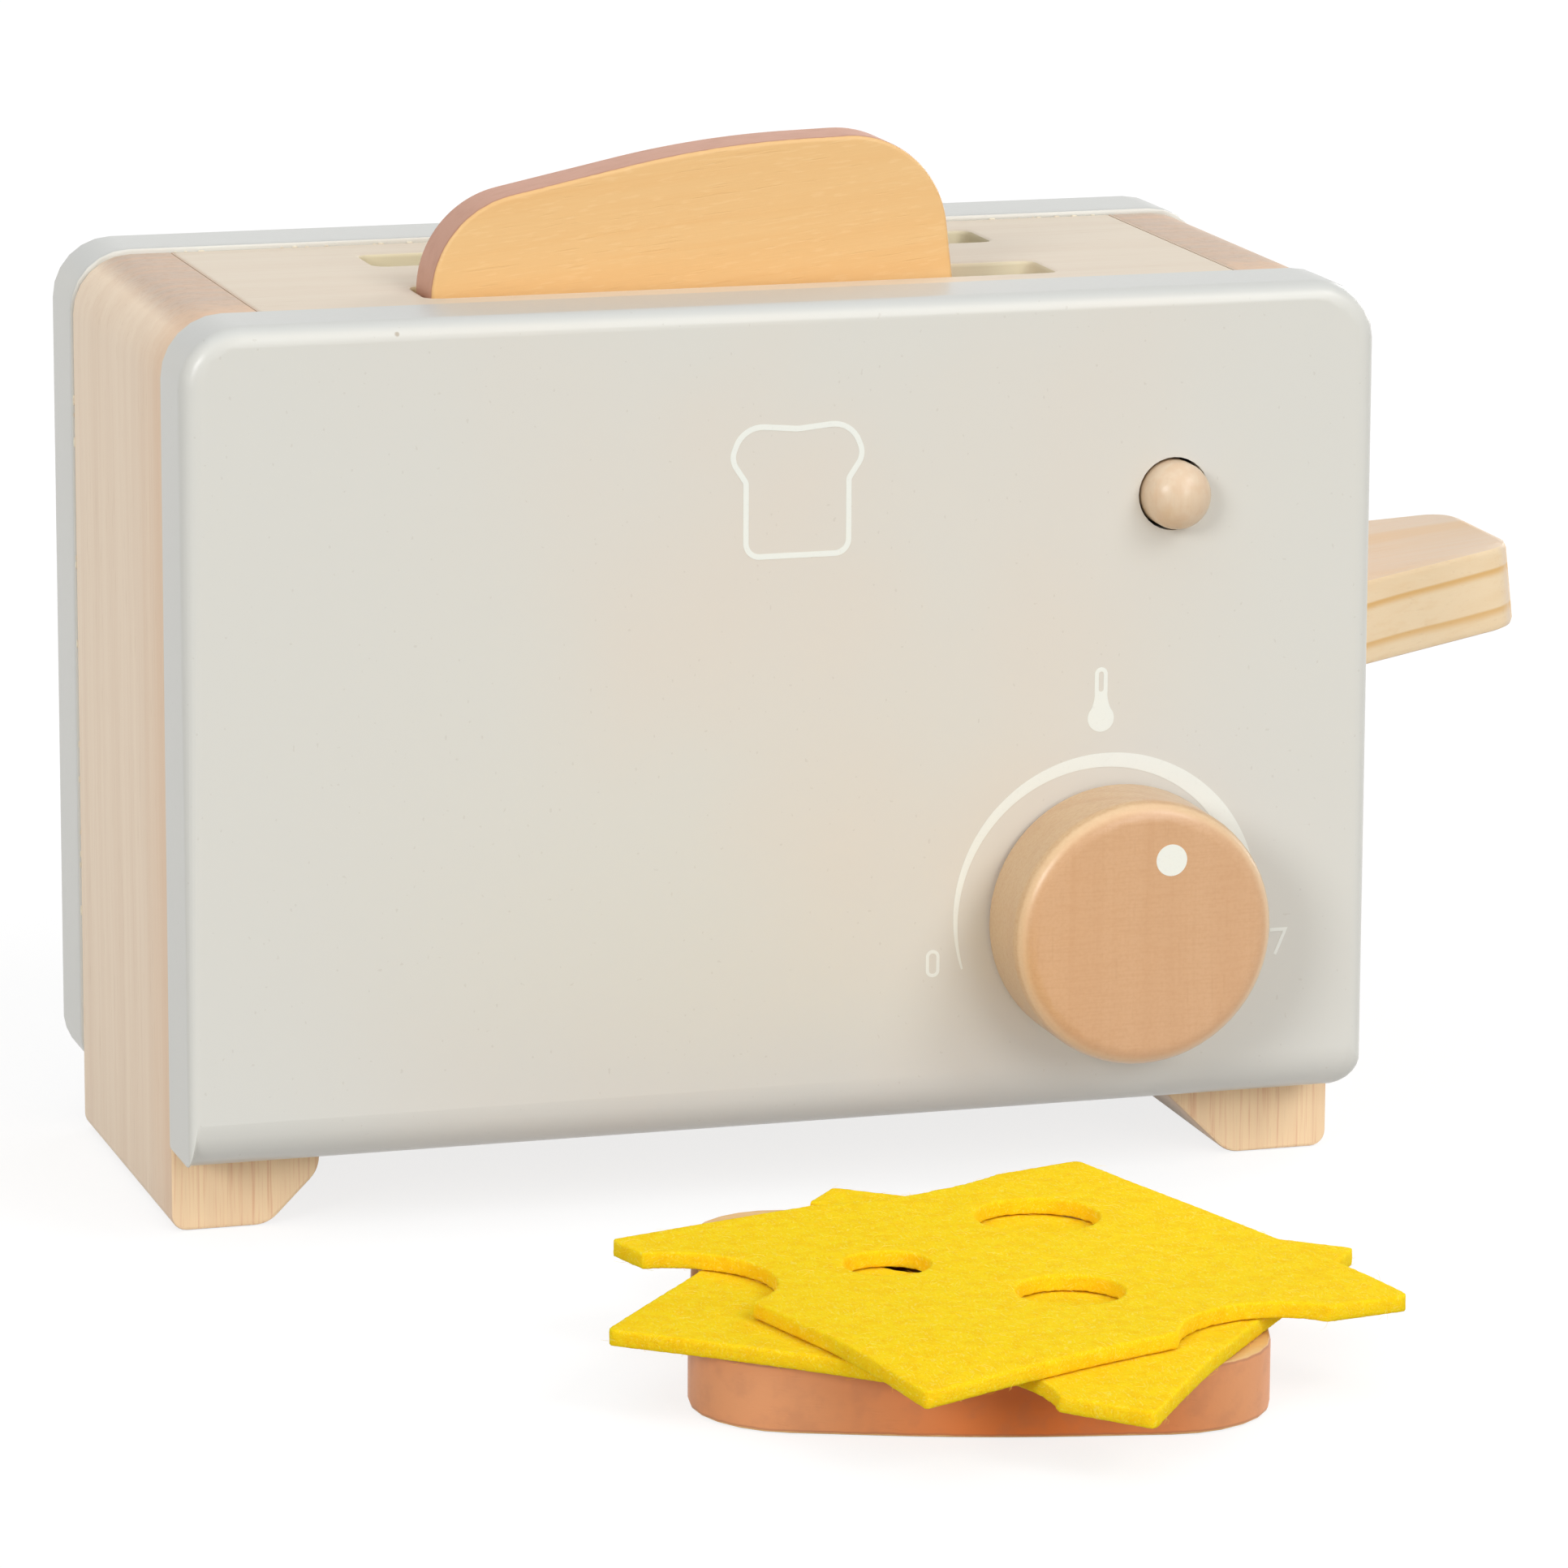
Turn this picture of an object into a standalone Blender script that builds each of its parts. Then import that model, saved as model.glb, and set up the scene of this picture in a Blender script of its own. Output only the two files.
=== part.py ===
"""Toy toaster with a see-saw pop-up lever, a dial knob, a sprung button and play food.

Metres, +Z up, +Y to the back. The toaster is laid out round its own centre with the floor at zero,
and the base empty then puts the whole set's middle over the origin.
"""

import math

import bmesh
import bpy
from mathutils import Matrix, Vector

# Clearances and overruns
GLUE_GAP = 0.0003
SEAT_GAP = 0.0003
DOWEL_CLEARANCE = 0.0002
RUNNING_CLEARANCE = 0.0003
CUT_OVERRUN = 0.002

# Housing
PANEL_WIDTH = 0.190
PANEL_HEIGHT = 0.1303
PANEL_THICKNESS = 0.015
PANEL_CORNER_RADIUS = 0.0095
PANEL_LOW_LEFT_RADIUS = 0.0015
PANEL_LOW_RIGHT_RADIUS = 0.0050
PANEL_EDGE_RADIUS = 0.0014
PANEL_RIGHT_EDGE_RADIUS = 0.0023
PANEL_BOTTOM_EDGE_RADIUS = 0.0078
PANEL_INNER_EDGE_RADIUS = 0.0005
BACK_PANEL_DROP = 0.0037
BACK_LOW_CORNER_RADIUS = 0.0060
LEAST_CORNER_RADIUS = 0.0004
BODY_DEPTH = 0.096
LEG_HEIGHT = 0.0127
LEFT_BOARD_THICKNESS = 0.0235
RIGHT_BOARD_THICKNESS = 0.030
SIDE_BOARD_INSET = 0.0003
LEG_CHAMFER = 0.0082
RIGHT_LEG_CHAMFER = 0.0132
LEG_CHAMFER_RADIUS = 0.0050
LEG_CORNER_RADIUS = 0.0025
BOARD_EDGE_RADIUS = 0.0005

# Top board and its slots
TOP_BOARD_THICKNESS = 0.014
TOP_BOARD_DROP = 0.0008
TOP_BOARD_JOINT = 0.0165
SLOT_LENGTH = 0.1015
SLOT_WIDTH = 0.013
SLOT_CORNER_RADIUS = 0.002
SLOT_OFFSET = 0.0165
SLOT_EDGE_RADIUS = 0.0008

# Bottom board
BOTTOM_BOARD_THICKNESS = 0.006
BOTTOM_BOARD_RECESS = 0.002

# Dowels that join the panels to the side boards
DOWEL_RADIUS = 0.003
DOWEL_DEPTH = 0.010
DOWEL_MARGIN = 0.0233
DOWEL_END_GAP = 0.0005

# Lever
LEVER_THICKNESS = 0.014
LEVER_PITCH = 6.5
LEVER_PRESS = 13.0
LEVER_WIDTH = 0.050
LEVER_END_WIDTH = 0.029
LEVER_OUTSIDE = 0.038
LEVER_INSIDE = 0.052
LEVER_PIVOT_INSET = 0.015
LEVER_PIVOT_DROP = 0.01645
LEVER_CORNER_RADIUS = 0.0065
LEVER_SHOULDER_RADIUS = 0.020
LEVER_EDGE_RADIUS = 0.0012
LEVER_SIDE_CLEARANCE = 0.0005
WINDOW_CLEARANCE = 0.0008
PIVOT_RADIUS = 0.004
REST_DOWEL_RADIUS = 0.004
REST_DOWEL_INSET = 0.008
REST_DOWEL_DEPTH = 0.006

# Dial knob
KNOB_RADIUS = 0.021
KNOB_THICKNESS = 0.0151
KNOB_GAP = 0.0005
KNOB_EDGE_RADIUS = 0.0030
KNOB_BACK_EDGE_RADIUS = 0.0009
KNOB_X = 0.053
KNOB_RISE = 0.0318
KNOB_BORE_DEPTH = 0.010
AXLE_RADIUS = 0.004
RETAINER_RADIUS = 0.011
RETAINER_THICKNESS = 0.005
AXLE_STEP_SHARE = 0.6
KNOB_SCREW_RADIUS = 0.0014
KNOB_SCREW_HEAD_RADIUS = 0.0032
KNOB_SCREW_HEAD_HEIGHT = 0.0020
KNOB_SCREW_LENGTH = 0.014

# Push button
BUTTON_X = 0.0618
BRIDGE_TOP_CLEARANCE = 0.0035
BUTTON_RADIUS = 0.0053
BUTTON_BORE_RADIUS = 0.00575
BUTTON_PROUD = 0.006
BUTTON_DOME = 0.0042
BUTTON_TRAVEL = 0.004
COLLAR_RADIUS = 0.0068
COLLAR_THICKNESS = 0.003
TAIL_RADIUS = 0.0028
SPRING_LENGTH = 0.0085
SPRING_RADIUS = 0.0042
SPRING_WIRE_RADIUS = 0.0004
SPRING_TURNS = 5
BRIDGE_WIDTH = 0.012
BRIDGE_BAR = 0.006
BRIDGE_LEG = 0.0065
BRIDGE_SIDE_CLEARANCE = 0.0006
POCKET_CLEARANCE = 0.0012
BRIDGE_SCREW_RADIUS = 0.0014
BRIDGE_SCREW_HEAD_RADIUS = 0.0028
BRIDGE_SCREW_HEAD_HEIGHT = 0.0018
BRIDGE_SCREW_BITE = 0.009

# Play food
TOAST_WIDTH = 0.0835
TOAST_HEIGHT = 0.0845
TOAST_THICKNESS = 0.0103
TOAST_DOME = 0.0035
TOAST_DOME_RADIUS = 0.160
TOAST_TOP_RADIUS = 0.0160
TOAST_BOTTOM_RADIUS = 0.0130
TOAST_EDGE_RADIUS = 0.0007
TOAST_FRONT_GAP = 0.0010
TOAST_END_GAP = 0.0006
LOOSE_TOAST_X = 0.0040
LOOSE_TOAST_AHEAD = 0.0816
LOOSE_TOAST_TURN = 163.3
CHEESE_SIDE = 0.0838
CHEESE_THICKNESS = 0.0024
CHEESE_CORNER_RADIUS = 0.0018
CHEESE_UPPER_X = 0.0062
CHEESE_UPPER_AHEAD = 0.0889
CHEESE_UPPER_TURN = 16.1
CHEESE_LOWER_X = 0.0027
CHEESE_LOWER_AHEAD = 0.0911
CHEESE_LOWER_TURN = -39.7
# Centre along each side of the slice and radius of every round hole and bite, as shares of its side
CHEESE_ROUND_SHARES = (
    (-0.172, 0.113, 0.076),
    (0.225, 0.231, 0.111),
    (0.002, -0.193, 0.094),
    (-0.555, 0.213, 0.186),
    (0.169, -0.607, 0.190),
    (0.120, 1.090, 0.625),
)

DOWEL_NAMES = ("left_low", "left_high", "right_low", "right_high")

# Counts and angles of the meshes
CORNER_STEPS = 6
ROUND_STEPS = 32
SMALL_STEPS = 20
BITE_STEPS = 48
WIDE_BITE_STEPS = 160
DOME_STEPS = 3
BUTTON_DOME_STEPS = 6
COIL_STEPS = 9
GAP_DIGITS = 5
EDGE_SEGMENTS = 2
ROUND_EDGE_SEGMENTS = 3
KNOB_EDGE_SEGMENTS = 6
PANEL_EDGE_SEGMENTS = 6
CAP_ANGLE = math.radians(60)
SMOOTH_ANGLE = math.radians(35)
QUARTER_TURN = math.radians(90)
HALF_SHARE = 0.5
WIDE_BITE_SHARE = 0.3

# Places worked out from the sizes
HALF_WIDTH = PANEL_WIDTH * HALF_SHARE
HALF_DEPTH = BODY_DEPTH * HALF_SHARE
INNER_Y = HALF_DEPTH - PANEL_THICKNESS
BOARD_Y = INNER_Y - GLUE_GAP
PANEL_TOP = LEG_HEIGHT + PANEL_HEIGHT
TOP_SURFACE = PANEL_TOP - TOP_BOARD_DROP
TOP_UNDERSIDE = TOP_SURFACE - TOP_BOARD_THICKNESS
OUTER_X = HALF_WIDTH - SIDE_BOARD_INSET
JOINT_X = HALF_WIDTH - TOP_BOARD_JOINT
LEFT_INNER_X = LEFT_BOARD_THICKNESS - OUTER_X
RIGHT_INNER_X = OUTER_X - RIGHT_BOARD_THICKNESS
PITCH = math.radians(LEVER_PITCH)
PRESS = math.radians(LEVER_PRESS)
PIVOT_X = OUTER_X - LEVER_PIVOT_INSET
KNOB_Z = LEG_HEIGHT + KNOB_RISE
BUTTON_SEAT_Y = -INNER_Y + SEAT_GAP
COLLAR_BACK_Y = BUTTON_SEAT_Y + COLLAR_THICKNESS
BRIDGE_FRONT_Y = COLLAR_BACK_Y + SPRING_LENGTH
BRIDGE_BACK_Y = BRIDGE_FRONT_Y + BRIDGE_BAR
BRIDGE_HALF = COLLAR_RADIUS + BRIDGE_SIDE_CLEARANCE + BRIDGE_LEG
BUTTON_Z = TOP_UNDERSIDE - BRIDGE_TOP_CLEARANCE - BRIDGE_HALF
LEVER_PIVOT_HEIGHT = BUTTON_Z - BRIDGE_HALF - LEVER_PIVOT_DROP


def clear_scene():
    """Remove every object, so the part starts from an empty scene."""
    for item in list(bpy.data.objects):
        bpy.data.objects.remove(item, do_unlink=True)


def finish(name, colour, roughness, metallic=0.0):
    """A plain Principled material."""
    item = bpy.data.materials.new(name)
    item.use_nodes = True
    shader = item.node_tree.nodes["Principled BSDF"]
    shader.inputs["Base Color"].default_value = (*colour, 1.0)
    shader.inputs["Roughness"].default_value = roughness
    shader.inputs["Metallic"].default_value = metallic
    return item


def empty(name, location, parent, rotation=(0.0, 0.0, 0.0)):
    """An empty that carries a moving group on its axis."""
    item = bpy.data.objects.new(name, None)
    bpy.context.collection.objects.link(item)
    item.parent = parent
    item.location = location
    item.rotation_euler = rotation
    return item


def solid(name, mesh_data, material, parent, location=(0.0, 0.0, 0.0), rotation=(0.0, 0.0, 0.0)):
    """An object of one sub-part, with outward faces, from a bmesh."""
    bmesh.ops.recalc_face_normals(mesh_data, faces=mesh_data.faces)
    mesh = bpy.data.meshes.new(name)
    mesh_data.to_mesh(mesh)
    mesh_data.free()
    mesh.materials.append(material)
    item = bpy.data.objects.new(name, mesh)
    bpy.context.collection.objects.link(item)
    item.parent = parent
    item.location = location
    item.rotation_euler = rotation
    return item


def smooth(item):
    """Shade the round faces smooth and keep the real edges sharp."""
    item.data.shade_smooth()
    item.data.set_sharp_from_angle(angle=SMOOTH_ANGLE)


def ease(item, radius):
    """Round the cap edges."""
    modifier = item.modifiers.new("eased edges", "BEVEL")
    modifier.width = radius
    modifier.segments = EDGE_SEGMENTS
    modifier.limit_method = "ANGLE"
    modifier.angle_limit = CAP_ANGLE
    modifier.use_clamp_overlap = False


def cut(item, name, mesh_data, location=(0.0, 0.0, 0.0), rotation=(0.0, 0.0, 0.0)):
    """Take a cutter's volume away, with the cutter placed in the item's own parent frame."""
    cutter = solid(name, mesh_data, item.data.materials[0], item.parent, location, rotation)
    cutter.hide_render = True
    cutter.display_type = "WIRE"
    modifier = item.modifiers.new(name, "BOOLEAN")
    modifier.object = cutter
    modifier.operation = "DIFFERENCE"
    modifier.solver = "EXACT"


def filleted(corners, steps=CORNER_STEPS):
    """Outline of a polygon whose corners (x, y, radius) are rounded by arcs."""
    points = []
    count = len(corners)
    for index, (x, y, radius) in enumerate(corners):
        corner = Vector((x, y))
        if radius == 0:
            points.append(corner)
            continue
        before = (Vector(corners[index - 1][:2]) - corner).normalized()
        after = (Vector(corners[(index + 1) % count][:2]) - corner).normalized()
        half_angle = before.angle(after) / 2
        centre = corner + (before + after).normalized() * (radius / math.sin(half_angle))
        reach = radius / math.tan(half_angle)
        first = corner + before * reach - centre
        last = corner + after * reach - centre
        turn = first.angle_signed(last)
        for step in range(steps + 1):
            arm = first.copy()
            arm.rotate(Matrix.Rotation(-turn * step / steps, 2))
            points.append(centre + arm)
    return points


def box_outline(width, height, radius, steps=CORNER_STEPS):
    """Rounded rectangle round the origin."""
    x = width / 2
    y = height / 2
    return filleted([(-x, -y, radius), (x, -y, radius), (x, y, radius), (-x, y, radius)], steps)


def round_outline(radius, steps=ROUND_STEPS):
    """Circle round the origin."""
    turns = [math.tau * step / steps for step in range(steps)]
    return [Vector((radius * math.cos(turn), radius * math.sin(turn))) for turn in turns]


def skin(rings):
    """Closed solid through rings of like point counts, with a cap on the first and the last."""
    data = bmesh.new()
    loops = [[data.verts.new(place) for place in ring] for ring in rings]
    count = len(loops[0])
    for low, high in zip(loops, loops[1:]):
        for index in range(count):
            after = (index + 1) % count
            data.faces.new((low[index], low[after], high[after], high[index]))
    data.faces.new(loops[0])
    data.faces.new(loops[-1])
    return data


def loft(layers):
    """Closed solid through level outlines of like point counts, given as (outline, height)."""
    return skin([[(point.x, point.y, height) for point in outline] for outline, height in layers])


def prism(outline, low, high):
    """Closed prism of an XY outline between two heights."""
    return loft([(outline, low), (outline, high)])


def upright(data):
    """Turn a prism so that its outline stands in XZ and its height runs to the back along +Y."""
    turn = Matrix.Rotation(QUARTER_TURN, 3, "X") @ Matrix.Scale(-1, 3, (0, 0, 1))
    bmesh.ops.transform(data, matrix=turn.to_4x4(), verts=data.verts)
    return data


def rod(radius, low, high, steps=ROUND_STEPS):
    """Round bar along +Y between two depths."""
    return upright(prism(round_outline(radius, steps), low, high))


def turned(profile, steps=ROUND_STEPS):
    """Closed piece turned round the Y axis from its outer profile of (radius, y), tip to tip."""
    data = bmesh.new()
    rings = []
    for radius, y in profile:
        if radius == 0:
            rings.append([data.verts.new((0, y, 0))])
            continue
        turns = [math.tau * step / steps for step in range(steps)]
        ring = [data.verts.new((radius * math.cos(t), y, radius * math.sin(t))) for t in turns]
        rings.append(ring)
    for first, second in zip(rings, rings[1:]):
        for index in range(steps):
            after = (index + 1) % steps
            corners = [first[index % len(first)], first[after % len(first)]]
            corners += [second[after % len(second)], second[index % len(second)]]
            data.faces.new(list(dict.fromkeys(corners)))
    for ring in (rings[0], rings[-1]):
        if len(ring) > 1:
            data.faces.new(ring)
    return data


def arc_profile(radius, y, edge_radius, direction, steps=ROUND_EDGE_SEGMENTS):
    """Profile points of a rounded rim, from its face (at y) out to its side."""
    points = []
    for step in range(steps + 1):
        angle = QUARTER_TURN * step / steps
        inward = edge_radius * (1 - math.sin(angle))
        along = edge_radius * (1 - math.cos(angle))
        points.append((radius - inward, y + direction * along))
    return points


def joined(parts):
    """One bmesh of several placed ones, given as (bmesh, offset)."""
    whole = bmesh.new()
    for data, offset in parts:
        bmesh.ops.translate(data, vec=offset, verts=data.verts)
        mesh = bpy.data.meshes.new("placed")
        data.to_mesh(mesh)
        data.free()
        whole.from_mesh(mesh)
        bpy.data.meshes.remove(mesh)
    return whole


def side_dowel_places():
    """Centres (x, z) of the dowels between a panel and the side boards."""
    left = (LEFT_INNER_X - OUTER_X) / 2
    right = (RIGHT_INNER_X + OUTER_X) / 2
    low = LEG_HEIGHT + DOWEL_MARGIN
    high = TOP_UNDERSIDE - DOWEL_RADIUS - DOWEL_CLEARANCE - PANEL_CORNER_RADIUS
    return [(left, low), (left, high), (right, low), (right, high)]


def rest_dowel_place():
    """Centre (x, z) of the cross dowel, just under the pitched lever near its inner end."""
    along = REST_DOWEL_INSET - LEVER_INSIDE - PIVOT_X
    down = LEVER_THICKNESS / 2 + SEAT_GAP + REST_DOWEL_RADIUS
    x = PIVOT_X + along * math.cos(PITCH) + down * math.sin(PITCH)
    z = LEVER_PIVOT_HEIGHT + along * math.sin(PITCH) - down * math.cos(PITCH)
    return x, z


def panel_ring(bottom, radii, edges, angle):
    """Places (x, z, depth) round a panel's rim where the rounding of its edges has turned by an angle.

    The edges are the roundings of the left, bottom, right and top sides, and the first radius is
    that of the corner between the left and the bottom.
    """
    insets = [edge * (1 - math.sin(angle)) for edge in edges]
    depths = [edge * (1 - math.cos(angle)) for edge in edges]
    left, low, right, high = insets
    xs = (left - HALF_WIDTH, HALF_WIDTH - right, HALF_WIDTH - right, left - HALF_WIDTH)
    zs = (bottom + low, bottom + low, PANEL_TOP - high, PANEL_TOP - high)
    corners = []
    behind = []
    for index, (x, z, radius) in enumerate(zip(xs, zs, radii)):
        after = (index + 1) % len(edges)
        taken = (insets[index] + insets[after]) / 2
        corners.append((x, z, max(radius - taken, LEAST_CORNER_RADIUS)))
        for step in range(CORNER_STEPS + 1):
            behind.append(depths[index] + (depths[after] - depths[index]) * step / CORNER_STEPS)
    return [(point.x, point.y, depth) for point, depth in zip(filleted(corners), behind)]


def panel(name, side, bottom, low_radii, material, base):
    """Front (side -1) or back (side 1) panel, with dowel holes in its inner face."""
    radii = (*low_radii, PANEL_CORNER_RADIUS, PANEL_CORNER_RADIUS)
    outer = (PANEL_EDGE_RADIUS, PANEL_BOTTOM_EDGE_RADIUS, PANEL_RIGHT_EDGE_RADIUS, PANEL_EDGE_RADIUS)
    inner = [PANEL_INNER_EDGE_RADIUS] * len(outer)
    rings = []
    for step in range(PANEL_EDGE_SEGMENTS + 1):
        ring = panel_ring(bottom, radii, outer, QUARTER_TURN * step / PANEL_EDGE_SEGMENTS)
        rings.append([(x, side * (HALF_DEPTH - depth), z) for x, z, depth in ring])
    for step in range(EDGE_SEGMENTS + 1):
        ring = panel_ring(bottom, radii, inner, QUARTER_TURN * (1 - step / EDGE_SEGMENTS))
        rings.append([(x, side * (INNER_Y + depth), z) for x, z, depth in ring])
    item = solid(name, skin(rings), material, base)
    smooth(item)
    holes = []
    reach = DOWEL_DEPTH + CUT_OVERRUN
    start = side * INNER_Y - CUT_OVERRUN if side > 0 else -INNER_Y - DOWEL_DEPTH
    for x, z in side_dowel_places():
        bore = rod(DOWEL_RADIUS + DOWEL_CLEARANCE, start, start + reach, SMALL_STEPS)
        holes.append((bore, (x, 0.0, z)))
    rest_x, rest_z = rest_dowel_place()
    rest_start = INNER_Y - CUT_OVERRUN if side > 0 else -INNER_Y - REST_DOWEL_DEPTH
    rest_end = rest_start + REST_DOWEL_DEPTH + CUT_OVERRUN
    bore = rod(REST_DOWEL_RADIUS + DOWEL_CLEARANCE, rest_start, rest_end, SMALL_STEPS)
    holes.append((bore, (rest_x, 0.0, rest_z)))
    if side < 0:
        through = (-HALF_DEPTH - CUT_OVERRUN, CUT_OVERRUN - INNER_Y)
        holes.append((rod(BUTTON_BORE_RADIUS, *through), (BUTTON_X, 0.0, BUTTON_Z)))
        holes.append((rod(AXLE_RADIUS + RUNNING_CLEARANCE, *through, SMALL_STEPS), (KNOB_X, 0.0, KNOB_Z)))
        for direction in (-1, 1):
            z = BUTTON_Z + direction * (BRIDGE_HALF - BRIDGE_LEG / 2)
            bite = -INNER_Y - BRIDGE_SCREW_BITE - DOWEL_END_GAP
            pilot = rod(BRIDGE_SCREW_RADIUS + DOWEL_CLEARANCE, bite, CUT_OVERRUN - INNER_Y, SMALL_STEPS)
            holes.append((pilot, (BUTTON_X, 0.0, z)))
    cut(item, name + "_holes_cutter", joined(holes))
    return item


def dowel_bores(x_sign):
    """Cutters of the dowel holes in both edges of one side board."""
    bores = []
    for x, z in side_dowel_places():
        if x * x_sign < 0:
            continue
        for low in (-BOARD_Y - CUT_OVERRUN, BOARD_Y - DOWEL_DEPTH):
            high = low + DOWEL_DEPTH + CUT_OVERRUN
            bores.append((rod(DOWEL_RADIUS + DOWEL_CLEARANCE, low, high, SMALL_STEPS), (x, 0.0, z)))
    return bores


def side_board(name, sign, thickness, chamfer, material, base):
    """Side board with its leg, a chamfer inside the leg and a rabbet for the top board."""
    outer = sign * OUTER_X
    inner = sign * (OUTER_X - thickness)
    joint = sign * (JOINT_X + GLUE_GAP / 2)
    ledge = TOP_UNDERSIDE - GLUE_GAP
    top_radius = PANEL_CORNER_RADIUS - SIDE_BOARD_INSET
    corners = [
        (outer, 0.0, LEG_CORNER_RADIUS),
        (outer, TOP_SURFACE, top_radius),
        (joint, TOP_SURFACE, 0.0),
        (joint, ledge, 0.0),
        (inner, ledge, 0.0),
        (inner, chamfer, LEG_CHAMFER_RADIUS),
        (inner + sign * chamfer, 0.0, LEG_CHAMFER_RADIUS),
    ]
    item = solid(name, upright(prism(filleted(corners), -BOARD_Y, BOARD_Y)), material, base)
    ease(item, BOARD_EDGE_RADIUS)
    smooth(item)
    cut(item, name + "_dowel_cutter", joined(dowel_bores(sign)))
    return item


def window_height():
    """Height of the lever's window, which clears the lever at both ends of its swing."""
    steepest = max(PITCH, PRESS - PITCH)
    reach = max(PIVOT_X - RIGHT_INNER_X, OUTER_X - PIVOT_X)
    half = LEVER_THICKNESS / 2 / math.cos(steepest) + reach * math.tan(steepest) + WINDOW_CLEARANCE
    return 2 * half


def cut_lever_window(board):
    """Window and pivot bore for the lever, and the pocket that clears the button's bridge."""
    width = LEVER_WIDTH + 2 * LEVER_SIDE_CLEARANCE
    depth = RIGHT_BOARD_THICKNESS + 2 * CUT_OVERRUN
    window = prism(box_outline(depth, width, 0), -window_height() / 2, window_height() / 2)
    middle = OUTER_X - RIGHT_BOARD_THICKNESS / 2
    cut(board, "lever_window_cutter", window, (middle, 0.0, LEVER_PIVOT_HEIGHT))
    bore = rod(PIVOT_RADIUS + DOWEL_CLEARANCE, -HALF_DEPTH, HALF_DEPTH)
    cut(board, "pivot_bore_cutter", bore, (PIVOT_X, 0.0, LEVER_PIVOT_HEIGHT))
    far_x = BUTTON_X + max(BRIDGE_WIDTH / 2, COLLAR_RADIUS) + POCKET_CLEARANCE
    near_x = RIGHT_INNER_X - CUT_OVERRUN
    head_back = BRIDGE_BACK_Y + BRIDGE_SCREW_HEAD_HEIGHT + BUTTON_TRAVEL + POCKET_CLEARANCE
    pocket_depth = head_back + BOARD_Y + CUT_OVERRUN
    pocket_height = 2 * (BRIDGE_HALF + POCKET_CLEARANCE)
    pocket = prism(box_outline(far_x - near_x, pocket_depth, 0), -pocket_height / 2, pocket_height / 2)
    centre_y = head_back - pocket_depth / 2
    cut(board, "button_pocket_cutter", pocket, ((far_x + near_x) / 2, centre_y, BUTTON_Z))


def top_board(material, base):
    """Top board that lies in the side boards' rabbets, with two slots for slices of toast."""
    outline = box_outline(2 * JOINT_X - GLUE_GAP, 2 * BOARD_Y, 0)
    item = solid("top_board", prism(outline, TOP_UNDERSIDE, TOP_SURFACE), material, base)
    ease(item, BOARD_EDGE_RADIUS)
    slots = []
    for y in (-SLOT_OFFSET, SLOT_OFFSET):
        layers = [(0.0, TOP_UNDERSIDE - CUT_OVERRUN)]
        for step in range(EDGE_SEGMENTS + 1):
            angle = QUARTER_TURN * step / EDGE_SEGMENTS
            rise = TOP_SURFACE - SLOT_EDGE_RADIUS * (1 - math.sin(angle))
            layers.append((SLOT_EDGE_RADIUS * (1 - math.cos(angle)), rise))
        layers.append((SLOT_EDGE_RADIUS, TOP_SURFACE + CUT_OVERRUN))
        rings = []
        for grow, height in layers:
            length = SLOT_LENGTH + 2 * grow
            width = SLOT_WIDTH + 2 * grow
            rings.append((box_outline(length, width, SLOT_CORNER_RADIUS + grow, DOME_STEPS), height))
        slots.append((loft(rings), (0.0, y, 0.0)))
    cut(item, "slots_cutter", joined(slots))
    return item


def bottom_board(material, base):
    """Thin board let in between the panels and the side boards."""
    low_x = LEFT_INNER_X + GLUE_GAP
    high_x = RIGHT_INNER_X - GLUE_GAP
    data = prism(box_outline(high_x - low_x, 2 * BOARD_Y, 0), 0, BOTTOM_BOARD_THICKNESS)
    place = ((low_x + high_x) / 2, 0.0, LEG_HEIGHT + BOTTOM_BOARD_RECESS)
    return solid("bottom_board", data, material, base, place)


def panel_dowels(prefix, side, material, base):
    """The four dowels between one panel and the side boards."""
    reach = DOWEL_DEPTH - DOWEL_END_GAP
    joint = side * (INNER_Y + BOARD_Y) / 2
    items = []
    for place_name, (x, z) in zip(DOWEL_NAMES, side_dowel_places()):
        bar = rod(DOWEL_RADIUS, joint - reach, joint + reach, SMALL_STEPS)
        item = solid(prefix + place_name, bar, material, base, (x, 0.0, z))
        smooth(item)
        items.append(item)
    return items


def lever(material, axis):
    """Lever board: handle outside, window through the side board, arm under both slots."""
    half = LEVER_WIDTH / 2
    end_half = LEVER_END_WIDTH / 2
    shoulder = OUTER_X - PIVOT_X + LEVER_SIDE_CLEARANCE
    tip = shoulder + LEVER_OUTSIDE
    inner = -(PIVOT_X + LEVER_INSIDE)
    corners = [
        (inner, -half, LEVER_CORNER_RADIUS),
        (shoulder, -half, LEVER_SHOULDER_RADIUS),
        (tip, -end_half, LEVER_CORNER_RADIUS),
        (tip, end_half, LEVER_CORNER_RADIUS),
        (shoulder, half, LEVER_SHOULDER_RADIUS),
        (inner, half, LEVER_CORNER_RADIUS),
    ]
    thick = LEVER_THICKNESS / 2
    item = solid("lever_board", prism(filleted(corners), -thick, thick), material, axis)
    ease(item, LEVER_EDGE_RADIUS)
    smooth(item)
    bore = rod(PIVOT_RADIUS + RUNNING_CLEARANCE, -HALF_DEPTH, HALF_DEPTH)
    cut(item, "lever_bore_cutter", bore)
    return item


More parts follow.
